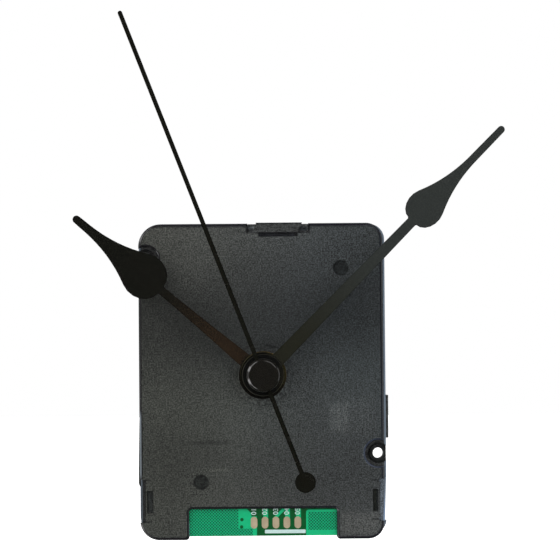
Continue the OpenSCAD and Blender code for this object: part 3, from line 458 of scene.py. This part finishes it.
def both(*fields):
    return joined("MULTIPLY", *fields)


def either(*fields):
    return joined("MAXIMUM", *fields)


def from_point(px, pz):
    flat = add(tree, "ShaderNodeCombineXYZ", {0: x, 1: 0.0, 2: z})
    return add(tree, "ShaderNodeVectorMath", {0: flat.outputs[0], 1: (px, 0.0, pz)},
               operation="DISTANCE").outputs["Value"]


print("started:", board.name)

# %% [markdown]
# ## Ground areas, net and tracks
#
# Where the board shows below the case, the copper is a hatched ground area:
# a net of lines at 45 degrees that keeps the board flat in the oven. The
# net is two crossing zigzag waves, and its holes repeat every 0.6 mm along
# the diagonals. Left of the test pads the ground area ends in a step, and
# two ovals in it stay bare; right of them it starts with a small round
# corner. Tracks lead up from the pads through the dark epoxy between the
# two, and one runs off at 45 degrees.

# %% Lay out the copper
PAD_PITCH = 3.15
# measured in x + z or x - z, which is 1.41 times the way along a diagonal
HALF_HOLE_PITCH = 0.433
HALF_NET_LINE = 0.13
waves = [add(tree, "ShaderNodeMath", {0: run, 1: HALF_HOLE_PITCH}, operation="PINGPONG").outputs[0]
         for run in (u, v)]
net = before(joined("MINIMUM", *waves), HALF_NET_LINE)

left = either(both(before(x, -3.4), before(u, -43.2)), both(before(x, -1.8), before(z, -40.7)))
left = both(left, after(from_point(-6.1, -41.6), 0.5), after(from_point(-6.2, -43.7), 0.5))
corner = both(before(x, 13.2), after(z, -39.65), after(from_point(13.2, -39.65), 0.8))
right = both(after(x, 12.4), before(z, -38.85), outside(corner))
ground = either(left, right)
hatched = either(both(before(x, -3.0), either(before(x, -7.1), before(z, -44.2))),
                 both(after(x, 13.0), before(z, -39.5), after(z, -44.7)))

from_track = add(tree, "ShaderNodeMath", {0: x, 1: 0.75}, operation="SUBTRACT").outputs[0]
from_track = add(tree, "ShaderNodeMath", {0: from_track, 1: PAD_PITCH / 2}, operation="PINGPONG").outputs[0]
upright = both(before(from_track, 0.7), either(both(after(x, -0.3), before(x, 2.0)),
                                               both(after(x, 6.0), before(x, 11.5))))
slanting = add(tree, "ShaderNodeMath", {0: v, 1: 44.65}, operation="SUBTRACT").outputs[0]
slanting = add(tree, "ShaderNodeMath", {0: slanting}, operation="ABSOLUTE").outputs[0]
tracks = both(either(upright, before(slanting, 0.6)), after(z, -41.5))
copper = either(both(ground, either(outside(hatched), net)), tracks)
print("net: a hole every", round(2 * HALF_HOLE_PITCH / math.sqrt(2), 2), "mm along a diagonal")

# %% [markdown]
# ## Colours of the board
#
# Three greens, each drifting a little with the glass cloth below: bare
# epoxy, epoxy in the gaps of a ground area, and copper under the mask. The
# copper stands a few hundredths of a millimetre proud, which a bump shows.
# The test pads are copper dulled by flux, and the legend is white ink.

# %% Colour the board
weave = add(tree, "ShaderNodeTexNoise", {"Vector": mm, "Scale": 1.2, "Detail": 3.0}).outputs["Fac"]
epoxy, gaps, masked = [
    add(tree, "ShaderNodeMix", {"Factor": weave, "A": linear(dark), "B": linear(light)},
        data_type="RGBA").outputs["Result"]
    for dark, light in (("#00441c", "#005c2a"), ("#003a2c", "#004a38"), ("#00a365", "#00b27b"))]
green = add(tree, "ShaderNodeMix", {"Factor": ground, "A": epoxy, "B": gaps}, data_type="RGBA")
green = add(tree, "ShaderNodeMix", {"Factor": copper, "A": green.outputs["Result"], "B": masked},
            data_type="RGBA")
tree.links.new(green.outputs["Result"], board_shader.inputs["Base Color"])
bump = add(tree, "ShaderNodeBump", {"Height": copper, "Strength": 0.6, "Distance": 0.03 * MM})
tree.links.new(bump.outputs["Normal"], board_shader.inputs["Normal"])
pad_metal = metal("copper_pad_with_dull_flux", "#97836a", "#b5a88b", 0.55, 0.3, 0.003, False)
pad_metal.node_tree.nodes["Principled BSDF"].inputs["Metallic"].default_value = 0.15
legend_ink = moulded("white_legend_ink", "#acc8c3", "#cbdfdb", 0.25, 0.004, 0.5)
print("board finishes:", board.name, pad_metal.name, legend_ink.name)

# %% [markdown]
# ## Dressing the frame's own parts
#
# Most shapes are right as they come, and only need their finish. A table of
# finish to parts is easier to check than fifty separate lines, and the
# print at the end says if a part was forgotten.

# %% Give each part its finish
dress = {
    case_abs: "front_case",
    back_abs: "rear_case left_plunger middle_plunger right_plunger",
    button_abs: "left_button middle_button right_button",
    turned_brass: "centre_bush hour_hub minute_hub",
    board: "circuit_board sensor_board",
    pad_metal: "test_pads",
    cast_resin: "clock_chip photo_sensor",
    dark_lens: "infrared_emitter",
    can_steel: "crystals capacitors tact_switches",
    spring_steel: "contact_positive contact_negative",
    core_steel: "seconds_stator seconds_core minute_stator minute_core plate_screws",
    arbor_steel: "second_arbor",
    natural_acetal: "seconds_rotor minute_rotor transfer_wheel seconds_wheel third_wheel "
                    "fourth_wheel minute_pipe minute_wheel motion_wheel hour_wheel",
    plate_abs: "mid_plate rear_plate",
    bobbin_nylon: "seconds_bobbin minute_bobbin antenna_bobbin",
    wire_enamel: "seconds_coil minute_coil antenna_coil",
    ferrite: "ferrite_rod",
    magnet_ferrite: "seconds_magnet minute_magnet",
    hand_lacquer: "hour_hand",
    second_lacquer: "second_hand",
    minute_lacquer: "minute_hand",
    cap_gloss: "second_cap",
}
dressed = set()
for finish, names in dress.items():
    for name in names.split():
        for slot in nodes[name].material_slots:
            slot.material = finish
        dressed.add(name)
print("parts still bare:", sorted(set(nodes) - dressed))

# %% [markdown]
# ## The stamped edges of the hands
#
# A drawing leaves the hands with edges like a knife. The press rounds them
# and the lacquer fills them, so that a thin line of light runs along each
# blade. The frame's triangles are first welded and the flat faces made
# whole again; then every edge sharper than 50 degrees is rounded.

# %% Round the edges
SHARP = math.radians(50)
FLAT = math.radians(0.5)


def softened(name, body, width):
    shape = bmesh.new()
    shape.from_mesh(nodes[name].data)
    bmesh.ops.remove_doubles(shape, verts=shape.verts, dist=WELD)
    bmesh.ops.dissolve_limit(shape, angle_limit=FLAT, verts=shape.verts, edges=shape.edges)
    sharp = [e for e in shape.edges if len(e.link_faces) == 2 and e.calc_face_angle() > SHARP]
    bmesh.ops.bevel(shape, geom=sharp, offset=width * MM, segments=4, affect="EDGES",
                    clamp_overlap=True)
    bmesh.ops.triangulate(shape, faces=shape.faces)
    for face in shape.faces:
        face.smooth = False
    loose = sum(1 for e in shape.edges if len(e.link_faces) != 2)
    piece = bpy.data.objects.new("stamped_" + name, bpy.data.meshes.new("stamped_" + name))
    shape.to_mesh(piece.data)
    shape.free()
    piece.data.materials.append(nodes[name].material_slots[0].material)
    bpy.context.scene.collection.objects.link(piece)
    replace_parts(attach(piece, body), name)
    print(piece.name, len(piece.data.polygons), "faces,", loose, "edges left open")


for name, body, width in (("hour_hand", "hour_set", 0.18), ("minute_hand", "minute_set", 0.18),
                          ("second_hand", "second_set", 0.13)):
    softened(name, body, width)

# %% [markdown]
# ## Growing pieces with Geometry Nodes
#
# A screw thread and a winding both repeat one small shape many hundred
# times along a path. Drawn by hand they would be endless work, and copied
# by a loop they could not be changed later. A node tree keeps them as a
# rule with named sizes. The helper below makes a tree with its inputs, and
# the next one sets the inputs on a modifier, evaluates it once and keeps
# the plain mesh.

# %% Helpers for trees
def tree_named(name, inputs):
    tree = bpy.data.node_groups.new(name, "GeometryNodeTree")
    for label, value in inputs.items():
        kind = "NodeSocketInt" if isinstance(value, int) else "NodeSocketFloat"
        tree.interface.new_socket(label, in_out="INPUT", socket_type=kind).default_value = value
    tree.interface.new_socket("Material", in_out="INPUT", socket_type="NodeSocketMaterial")
    tree.interface.new_socket("Geometry", in_out="OUTPUT", socket_type="NodeSocketGeometry")
    return tree, tree.nodes.new("NodeGroupInput"), tree.nodes.new("NodeGroupOutput")


def close_tree(tree, given, out, geometry):
    real = add(tree, "GeometryNodeRealizeInstances", {0: geometry})
    last = add(tree, "GeometryNodeSetMaterial",
               {"Geometry": real.outputs[0], "Material": given.outputs["Material"]})
    tree.links.new(last.outputs[0], out.inputs[0])


def grow(name, tree, material, place=Matrix.Identity(4), **sizes):
    seed = bpy.data.objects.new(name + "_seed", bpy.data.meshes.new(name + "_seed"))
    bpy.context.scene.collection.objects.link(seed)
    modifier = seed.modifiers.new("grow", "NODES")
    modifier.node_group = tree
    wanted = {label.replace("_", " "): value for label, value in sizes.items()}
    wanted["Material"] = material
    for item in tree.interface.items_tree:
        if item.in_out == "INPUT" and item.name in wanted:
            modifier[item.identifier] = wanted[item.name]
    ready = seed.evaluated_get(bpy.context.evaluated_depsgraph_get())
    mesh = bpy.data.meshes.new_from_object(ready)
    bpy.data.objects.remove(seed)
    mesh.transform(place)
    piece = bpy.data.objects.new(name, mesh)
    bpy.context.scene.collection.objects.link(piece)
    print(name, "grown:", len(mesh.polygons), "faces")
    return piece


# %% [markdown]
# ## The threaded bush
#
# The brass bush carries the nut that clamps the movement behind a dial, so
# it is threaded over its whole length in front of the case: 8 mm across
# with a pitch of 0.75 mm. A plain sleeve is swept round a circle, and its
# outer points are pushed inwards by a zigzag wave of the height along the
# shaft plus the angle round it. Because the angle adds one pitch per turn,
# the wave becomes one true helix. The crests stay on the sleeve's own
# radius, and the wave fades out at the free end as a lead-in chamfer.

# %% A rule for the thread
def thread_tree():
    tree, given, out = tree_named("screw_thread", {
        "Radius": 4.0 * MM, "Bore": 2.58 * MM, "Length": 7.1 * MM,
        "Pitch": 0.75 * MM, "Depth": 0.42 * MM, "Step": 0.09 * MM})
    g = given.outputs

    # a sleeve: one rectangle with fine steps, swept round a circle
    wall = add(tree, "ShaderNodeMath", {0: g["Radius"], 1: g["Bore"]}, operation="SUBTRACT").outputs[0]
    across = add(tree, "ShaderNodeMath", {0: g["Radius"], 1: g["Bore"]}, operation="ADD").outputs[0]
    middle = add(tree, "ShaderNodeMath", {0: across, 1: 0.5}, operation="MULTIPLY").outputs[0]
    section = add(tree, "GeometryNodeCurvePrimitiveQuadrilateral",
                  {"Width": wall, "Height": g["Length"]})
    fine = add(tree, "GeometryNodeResampleCurve",
               {"Curve": section.outputs[0], "Length": g["Step"]}, mode="LENGTH")
    ring = add(tree, "GeometryNodeCurvePrimitiveCircle", {"Resolution": 96, "Radius": middle})
    sleeve = add(tree, "GeometryNodeCurveToMesh",
                 {"Curve": ring.outputs[0], "Profile Curve": fine.outputs[0]})

    # where each point is: its height z, its distance from the shaft, its share of a turn
    here = add(tree, "GeometryNodeInputPosition")
    parts = add(tree, "ShaderNodeSeparateXYZ", {0: here.outputs[0]})
    x, y, z = parts.outputs[0], parts.outputs[1], parts.outputs[2]
    out_way = add(tree, "ShaderNodeCombineXYZ", {0: x, 1: y, 2: 0.0}).outputs[0]
    radius = add(tree, "ShaderNodeVectorMath", {0: out_way}, operation="LENGTH").outputs["Value"]
    angle = add(tree, "ShaderNodeMath", {0: y, 1: x}, operation="ARCTAN2").outputs[0]
    turn = add(tree, "ShaderNodeMath", {0: angle, 1: 2 * math.pi}, operation="DIVIDE").outputs[0]

    # the zigzag: 0 on a crest, 1 in a groove
    half_pitch = add(tree, "ShaderNodeMath", {0: g["Pitch"], 1: 0.5}, operation="MULTIPLY").outputs[0]
    climb = add(tree, "ShaderNodeMath", {0: turn, 1: g["Pitch"], 2: z},
                operation="MULTIPLY_ADD").outputs[0]
    wave = add(tree, "ShaderNodeMath", {0: climb, 1: half_pitch}, operation="PINGPONG").outputs[0]
    share = add(tree, "ShaderNodeMath", {0: wave, 1: half_pitch}, operation="DIVIDE").outputs[0]
    groove = add(tree, "ShaderNodeMapRange",
                 {"Value": share, "From Min": 0.12, "From Max": 0.85}).outputs[0]

    # the lead-in: 1 at the free end, 0 from half a millimetre below it
    top = add(tree, "ShaderNodeMath", {0: g["Length"], 1: 0.5}, operation="MULTIPLY").outputs[0]
    below_top = add(tree, "ShaderNodeMath", {0: top, 1: z}, operation="SUBTRACT").outputs[0]
    lead = add(tree, "ShaderNodeMapRange", {"Value": below_top, "From Min": 0.0, "From Max": 0.5 * MM,
                                            "To Min": 1.0, "To Max": 0.0}).outputs[0]

    # push the outer points inwards by the deeper of the two
    deeper = add(tree, "ShaderNodeMath", {0: groove, 1: lead}, operation="MAXIMUM").outputs[0]
    depth = add(tree, "ShaderNodeMath", {0: deeper, 1: g["Depth"]}, operation="MULTIPLY").outputs[0]
    skin = add(tree, "ShaderNodeMath", {0: g["Radius"], 1: 0.02 * MM}, operation="SUBTRACT").outputs[0]
    outer = add(tree, "ShaderNodeMath", {0: radius, 1: skin}, operation="GREATER_THAN").outputs[0]
    inwards = add(tree, "ShaderNodeMath", {0: depth, 1: outer}, operation="MULTIPLY").outputs[0]
    inwards = add(tree, "ShaderNodeMath", {0: inwards, 1: -1.0}, operation="MULTIPLY").outputs[0]
    unit = add(tree, "ShaderNodeVectorMath", {0: out_way}, operation="NORMALIZE").outputs[0]
    shift = add(tree, "ShaderNodeVectorMath", {0: unit, 3: inwards}, operation="SCALE").outputs[0]
    threaded = add(tree, "GeometryNodeSetPosition", {"Geometry": sleeve.outputs[0], "Offset": shift})
    close_tree(tree, given, out, threaded.outputs[0])
    return tree


thread_rule = thread_tree()
print("thread rule:", len(thread_rule.nodes), "nodes")

# %% [markdown]
# ## Fitting the bush
#
# The tree builds the sleeve upright, round Z and with its free end on top.
# One matrix turns it so that the free end points at the viewer and puts it
# where the drawing has its plain bush. The seam of the sweep is welded, and
# the faces are turned outwards, because a swept curve may come out inside
# out.

# %% Cut the thread
def face_outwards(piece):
    shape = bmesh.new()
    shape.from_mesh(piece.data)
    bmesh.ops.remove_doubles(shape, verts=shape.verts, dist=WELD)
    bmesh.ops.recalc_face_normals(shape, faces=shape.faces)
    loose = sum(1 for e in shape.edges if len(e.link_faces) != 2)
    shape.to_mesh(piece.data)
    shape.free()
    return loose


bush_low, bush_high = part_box("centre_bush")
free_end, inner_end = bush_low.y, bush_high.y
onto_shaft = Matrix.Translation((0, (free_end + inner_end) / 2, 0)) @ Matrix.Rotation(math.radians(90), 4, "X")
bush = grow("threaded_bush", thread_rule, turned_brass, onto_shaft, Length=inner_end - free_end)
print("bush edges left open:", face_outwards(bush))
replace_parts(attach(bush, "movement"), "centre_bush")

# %% [markdown]
# ## The windings
#
# Each motor coil and the aerial coil is one long wire laid in a helix on
# its bobbin. Real wire is as thin as a hair; here it is drawn thick enough
# to be seen, and only the top layer is wound, over a plain core of wire
# below. A spiral curve gives the path, and a small circle swept along it
# gives the wire.

# %% A rule for a winding
def winding_tree():
    tree, given, out = tree_named("wound_coil", {"Radius": 3.0 * MM, "Length": 13.5 * MM, "Wire": 0.3 * MM})
    g = given.outputs

    # the path of the wire's middle, a spiral with one turn for each width of wire
    half_wire = add(tree, "ShaderNodeMath", {0: g["Wire"], 1: 0.5}, operation="MULTIPLY").outputs[0]
    run = add(tree, "ShaderNodeMath", {0: g["Radius"], 1: half_wire}, operation="SUBTRACT").outputs[0]
    travel = add(tree, "ShaderNodeMath", {0: g["Length"], 1: g["Wire"]}, operation="SUBTRACT").outputs[0]
    turns = add(tree, "ShaderNodeMath", {0: travel, 1: g["Wire"]}, operation="DIVIDE").outputs[0]
    path = add(tree, "GeometryNodeCurveSpiral", {"Resolution": 24, "Rotations": turns, "Start Radius": run,
                                                 "End Radius": run, "Height": travel})
    round_wire = add(tree, "GeometryNodeCurvePrimitiveCircle", {"Resolution": 8, "Radius": half_wire})
    wire = add(tree, "GeometryNodeCurveToMesh", {"Curve": path.outputs[0], "Fill Caps": True,
                                                 "Profile Curve": round_wire.outputs[0]})

    # down by half its height, so that the coil's middle is the tree's own middle
    drop = add(tree, "ShaderNodeMath", {0: travel, 1: -0.5}, operation="MULTIPLY").outputs[0]
    low = add(tree, "ShaderNodeCombineXYZ", {2: drop}).outputs[0]
    lift = add(tree, "GeometryNodeTransform", {"Geometry": wire.outputs[0], "Translation": low})
    soft = add(tree, "GeometryNodeSetShadeSmooth", {0: lift.outputs[0]})
    under = add(tree, "ShaderNodeMath", {0: g["Radius"], 1: g["Wire"]}, operation="SUBTRACT").outputs[0]
    core = add(tree, "GeometryNodeMeshCylinder", {"Vertices": 48, "Radius": under, "Depth": travel})
    coil = add(tree, "GeometryNodeJoinGeometry")
    tree.links.new(soft.outputs[0], coil.inputs[0])
    tree.links.new(core.outputs["Mesh"], coil.inputs[0])
    close_tree(tree, given, out, coil.outputs[0])
    return tree


coil_rule = winding_tree()
print("winding rule:", len(coil_rule.nodes), "nodes")

# %% Wind the coils
for coil, wire, axis in (("seconds_coil", 0.3, "x"), ("minute_coil", 0.3, "x"), ("antenna_coil", 0.4, "z")):
    low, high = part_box(coil)
    middle = (low + high) / 2
    length = getattr(high, axis) - getattr(low, axis)
    turned = Matrix.Rotation(math.radians(90), 4, "Y") if axis == "x" else Matrix.Identity(4)
    piece = grow(coil.replace("coil", "winding"), coil_rule, wire_enamel,
                 Matrix.Translation(middle) @ turned, Radius=(high.y - low.y) / 2,
                 Length=length, Wire=wire * MM)
    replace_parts(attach(piece, "movement"), coil)

# %% [markdown]
# ## Legends on the board
#
# White marks on a board are screen printed ink, a few hundredths of a
# millimetre thick. A broad bar lies under the test pads, and plain numerals
# count them, turned to read from the side. A text curve is made a mesh
# before it is put in place, so that the piece ends at the origin.

# %% Print the bar
PAD_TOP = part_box("circuit_board")[0].y
INK = 0.02 * MM
low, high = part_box("test_pads")
pad_run = [(low.x + high.x) / 2 + i * PAD_PITCH * MM for i in (-2, -1, 0, 1, 2)]


def ink_mesh(name, shape):
    piece = bpy.data.objects.new(name, bpy.data.meshes.new(name))
    shape.to_mesh(piece.data)
    shape.free()
    bpy.context.scene.collection.objects.link(piece)
    piece.data.materials.append(legend_ink)
    return piece


def ink_bar(x0, x1, z0, z1):
    shape = bmesh.new()
    bmesh.ops.create_cube(shape, size=1.0)
    size = Vector((x1 - x0, INK, z1 - z0))
    bmesh.ops.scale(shape, vec=size, verts=shape.verts)
    middle = ((x0 + x1) / 2, PAD_TOP - INK / 2, (z0 + z1) / 2)
    bmesh.ops.translate(shape, vec=middle, verts=shape.verts)
    corners = [e for e in shape.edges if abs(e.verts[0].co.y - e.verts[1].co.y) > INK / 2]
    bmesh.ops.bevel(shape, geom=corners, offset=0.12 * MM, segments=3, affect="EDGES")
    return shape


bar = ink_mesh("legend_bar", ink_bar(0.5 * MM, 12.25 * MM, -45.6 * MM, -44.55 * MM))
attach(bar, "movement")
print("bar printed on the board at y =", round(PAD_TOP / MM, 3), "mm")

# %% Print the numerals
for count, x in enumerate(pad_run, 1):
    letters = bpy.data.curves.new("numeral", "FONT")
    letters.body, letters.size, letters.extrude = f"{count:02d}", 2.0 * MM, INK / 2
    letters.align_x, letters.align_y, letters.offset = "CENTER", "CENTER", 0.02 * MM
    drawn = bpy.data.objects.new("numeral_drawn", letters)
    bpy.context.scene.collection.objects.link(drawn)
    mesh = bpy.data.meshes.new_from_object(drawn.evaluated_get(bpy.context.evaluated_depsgraph_get()))
    bpy.data.objects.remove(drawn)
    upright = Matrix.Rotation(math.radians(90), 4, "X") @ Matrix.Rotation(math.radians(90), 4, "Z")
    mesh.transform(Matrix.Translation((x, PAD_TOP - INK / 2, -39.3 * MM)) @ upright)
    numeral = bpy.data.objects.new(f"legend_numeral_{count}", mesh)
    bpy.context.scene.collection.objects.link(numeral)
    numeral.data.materials.clear()
    numeral.data.materials.append(legend_ink)
    face_outwards(numeral)
    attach(numeral, "movement")
print("numerals printed over", len(pad_run), "pads")

# %% [markdown]
# ## The floor
#
# The movement floats in a white room, as in a catalogue cut-out. A plain
# white floor lies just under the sweep of its longest hand, so that no hand
# dips into it at any time of day. It only glows fully white to the camera
# and in reflections: Light Path tells those rays from the others, so the
# object gets no extra light from it, and the floor still darkens under the
# object. Farther out the floor fades into the same white as the room.

# %% Lay the floor
GAP_BELOW = 2 * MM
sweep = max(math.hypot(v.co.x, v.co.z) for name in ("hour_hand", "minute_hand", "second_hand")
            for v in nodes[name].data.vertices)
floor = bpy.data.objects.new("floor", bpy.data.meshes.new("floor"))
shape = bmesh.new()
bmesh.ops.create_circle(shape, cap_ends=True, segments=64, radius=4.0)
shape.to_mesh(floor.data)
shape.free()
floor.location.z = -sweep - GAP_BELOW
bpy.context.scene.collection.objects.link(floor)
floor.visible_glossy = False
paper = bpy.data.materials.new("white_paper_floor")
paper.use_nodes = True
tree = paper.node_tree
path = add(tree, "ShaderNodeLightPath").outputs
seen = add(tree, "ShaderNodeMath", {0: path["Is Camera Ray"], 1: path["Is Glossy Ray"]},
           operation="MAXIMUM")
seen = add(tree, "ShaderNodeMath", {0: seen.outputs[0], 1: path["Is Transmission Ray"]},
           operation="MAXIMUM")
place = add(tree, "ShaderNodeTexCoord")
distance = add(tree, "ShaderNodeVectorMath", {0: place.outputs["Object"]}, operation="LENGTH")
fade = add(tree, "ShaderNodeMapRange", {"Value": distance.outputs["Value"], "From Min": 0.06,
                                        "From Max": 0.5, "To Min": 0.8, "To Max": 1.0})
glow = add(tree, "ShaderNodeMath", {0: seen.outputs[0], 1: fade.outputs[0]}, operation="MULTIPLY")
shader = tree.nodes["Principled BSDF"]
shader.inputs["Base Color"].default_value = linear("#f4f4f3")
shader.inputs["Roughness"].default_value = 0.9
shader.inputs["Specular IOR Level"].default_value = 0.1
shader.inputs["Emission Color"].default_value = (1, 1, 1, 1)
tree.links.new(glow.outputs[0], shader.inputs["Emission Strength"])
floor.data.materials.append(paper)
print("floor at z =", round(floor.location.z / MM, 2), "mm, under a sweep of", round(sweep / MM, 2), "mm")

# %% [markdown]
# ## The room
#
# The world gives three answers to three kinds of ray. The camera sees
# white. Matt light comes mostly from the photographer's side and from
# behind, and little from the sides, so that the front face is lit evenly
# while its rim stays dark. Mirrored rays see a dark studio, a little
# lighter behind the object.

# %% Light for matt faces
FRONT_LIGHT = 1.83
REAR_LIGHT = 1.9
world = bpy.data.worlds.new("white_room")
bpy.context.scene.world = world
world.use_nodes = True
world.cycles.sampling_method = "NONE"
tree = world.node_tree
place = add(tree, "ShaderNodeTexCoord")
way = add(tree, "ShaderNodeSeparateXYZ", {0: place.outputs["Generated"]}).outputs
front = add(tree, "ShaderNodeMapRange", {"Value": way["Y"], "From Min": -0.95, "From Max": -0.25,
                                         "To Min": FRONT_LIGHT, "To Max": 0.1},
            interpolation_type="SMOOTHSTEP")
behind = add(tree, "ShaderNodeMapRange", {"Value": way["Y"], "From Min": 0.4, "From Max": 0.95,
                                          "To Min": 0.0, "To Max": REAR_LIGHT},
             interpolation_type="SMOOTHSTEP")
matt = add(tree, "ShaderNodeMath", {0: front.outputs[0], 1: behind.outputs[0]}, operation="ADD")
mirrored = add(tree, "ShaderNodeMapRange", {"Value": way["Y"], "From Min": 0.2, "From Max": 0.8,
                                            "To Min": 0.03, "To Max": 0.5}).outputs[0]
print("room: front light", FRONT_LIGHT, "rear light", REAR_LIGHT)

# %% [markdown]
# ## Soft boxes in the reflections
#
# A few soft boxes, seen by mirrored rays alone, keep black lacquer black
# and draw the thin lights on the cap and on the rims. Real lamps could make
# those reflections too, but they would also light the matt faces. A soft
# box is two bands that cross: one round the shaft like the hours on a dial,
# one from the viewer's side towards the back, each with a blurred edge.

# %% Hang the soft boxes
# clock angle round the shaft, half width, nearest and farthest angle from
# the viewer's side, all in degrees, and brightness
SOFT_BOXES = [(155, 10, 34, 100, 4.0), (205, 10, 34, 100, 4.0), (180, 16, 56, 80, 1.4),
              (55, 26, 36, 48, 2.4), (3, 24, 75, 110, 0.8), (135, 22, 46, 60, 5.0),
              (225, 22, 46, 60, 4.0)]
BLURRED_EDGE = 4
clock = add(tree, "ShaderNodeMath", {0: way["Z"], 1: way["X"]}, operation="ARCTAN2").outputs[0]
tilt = add(tree, "ShaderNodeMath", {0: way["Y"]}, operation="ARCCOSINE").outputs[0]
for angle, half, nearest, farthest, box in SOFT_BOXES:
    around = add(tree, "ShaderNodeMath", {0: clock, 1: math.radians(angle)}, operation="SUBTRACT")
    around = add(tree, "ShaderNodeMath", {0: around.outputs[0], 1: -math.pi, 2: math.pi},
                 operation="WRAP")
    off = add(tree, "ShaderNodeMath", {0: tilt, 1: math.radians(180 - (nearest + farthest) / 2)},
              operation="SUBTRACT")
    for away, reach in ((around, half), (off, (farthest - nearest) / 2)):
        size = add(tree, "ShaderNodeMath", {0: away.outputs[0]}, operation="ABSOLUTE").outputs[0]
        cover = add(tree, "ShaderNodeMapRange",
                    {"Value": size, "From Min": math.radians(reach - BLURRED_EDGE),
                     "From Max": math.radians(reach + BLURRED_EDGE), "To Min": 1.0, "To Max": 0.0},
                    interpolation_type="SMOOTHSTEP").outputs[0]
        box = add(tree, "ShaderNodeMath", {0: cover, 1: box}, operation="MULTIPLY").outputs[0]
    mirrored = add(tree, "ShaderNodeMath", {0: mirrored, 1: box}, operation="MAXIMUM").outputs[0]
print("soft boxes in reflections:", len(SOFT_BOXES))

# %% Give each kind of ray its answer
path = add(tree, "ShaderNodeLightPath").outputs
mirror = add(tree, "ShaderNodeMath", {0: path["Is Glossy Ray"], 1: path["Is Transmission Ray"]},
             operation="MAXIMUM")
soft = add(tree, "ShaderNodeMix", {"Factor": mirror.outputs[0], "A": matt.outputs[0], "B": mirrored})
level = add(tree, "ShaderNodeMix",
            {"Factor": path["Is Camera Ray"], "A": soft.outputs["Result"], "B": 1.0})
tree.links.new(level.outputs["Result"], tree.nodes["Background"].inputs["Strength"])
tree.nodes["Background"].inputs["Color"].default_value = (1, 1, 1, 1)
bpy.context.scene.view_settings.view_transform = "Standard"
print("world:", world.name, "with", len(tree.nodes), "nodes")

# %% [markdown]
# ## Three lamps
#
# Three broad lamps, left, right and above, graze the front face and bring
# out its grain, which even light from the front would drown. Like the floor
# they are left out of reflections, where the soft boxes stand for them.

# %% Hang the lamps
LAMP_WATTS = 2
LAMPS_AIM = Vector((0, 0, 0.02))


def lamp(name, place, width, height, colour="#ffffff"):
    light = bpy.data.lights.new(name, "AREA")
    light.shape, light.size, light.size_y, light.energy = "RECTANGLE", width, height, LAMP_WATTS
    light.color = linear(colour)[:3]
    holder = bpy.data.objects.new(name, light)
    holder.visible_glossy = False
    holder.location = place
    holder.rotation_euler = (LAMPS_AIM - Vector(place)).to_track_quat("-Z", "Y").to_euler()
    bpy.context.scene.collection.objects.link(holder)
    print(name, "at", place, "m")


lamp("lamp_left", (-0.7, -0.6, 0.45), 0.5, 0.6)
lamp("lamp_right", (0.7, -0.6, 0.3), 0.5, 0.6, "#e6eeff")
lamp("lamp_above", (0.05, -0.3, 1.0), 0.6, 0.4)

# %% [markdown]
# ## The camera
#
# The photograph was taken from a little over half a metre, a touch left of
# the shaft and almost square to the face. The camera stands there too, with
# a long lens, a small roll, and a small shift that places the frame.

# %% Place the camera
FRAME_PX = 560
PX_PER_MM = 3.475
DISTANCE = 620.0
SENSOR = 36.0
CAMERA_AT = Vector((-18.0, -DISTANCE, 4.0)) * MM
AIM = Vector((5.3, 0.0, 27.47)) * MM
SHIFT = (0.12, 0.07)
ROLL = math.radians(-0.45)
lens_camera = bpy.data.cameras.new("camera")
camera = bpy.data.objects.new("camera", lens_camera)
bpy.context.scene.collection.objects.link(camera)
lens_camera.sensor_width = SENSOR
lens_camera.lens = SENSOR * PX_PER_MM * DISTANCE / FRAME_PX
lens_camera.shift_x, lens_camera.shift_y = SHIFT
lens_camera.clip_start, lens_camera.clip_end = 0.02, 20.0
to_aim = AIM - CAMERA_AT
yaw = math.atan2(to_aim.x, to_aim.y) - math.atan(SHIFT[0] * SENSOR / lens_camera.lens)
pitch = math.atan2(to_aim.z, to_aim.y) - math.atan(SHIFT[1] * SENSOR / lens_camera.lens)
camera.location = CAMERA_AT
turned = Matrix.Rotation(-yaw, 4, "Z") @ Matrix.Rotation(math.radians(90) + pitch, 4, "X")
camera.rotation_euler = (turned @ Matrix.Rotation(ROLL, 4, "Z")).to_euler()
bpy.context.scene.camera = camera
print("camera: lens", round(lens_camera.lens, 1), "mm, yaw", round(math.degrees(yaw), 2), "pitch",
      round(math.degrees(pitch), 2))

# %% [markdown]
# ## Finish
#
# The view layer is brought up to date.

# %% Update the view layer
bpy.context.view_layer.update()
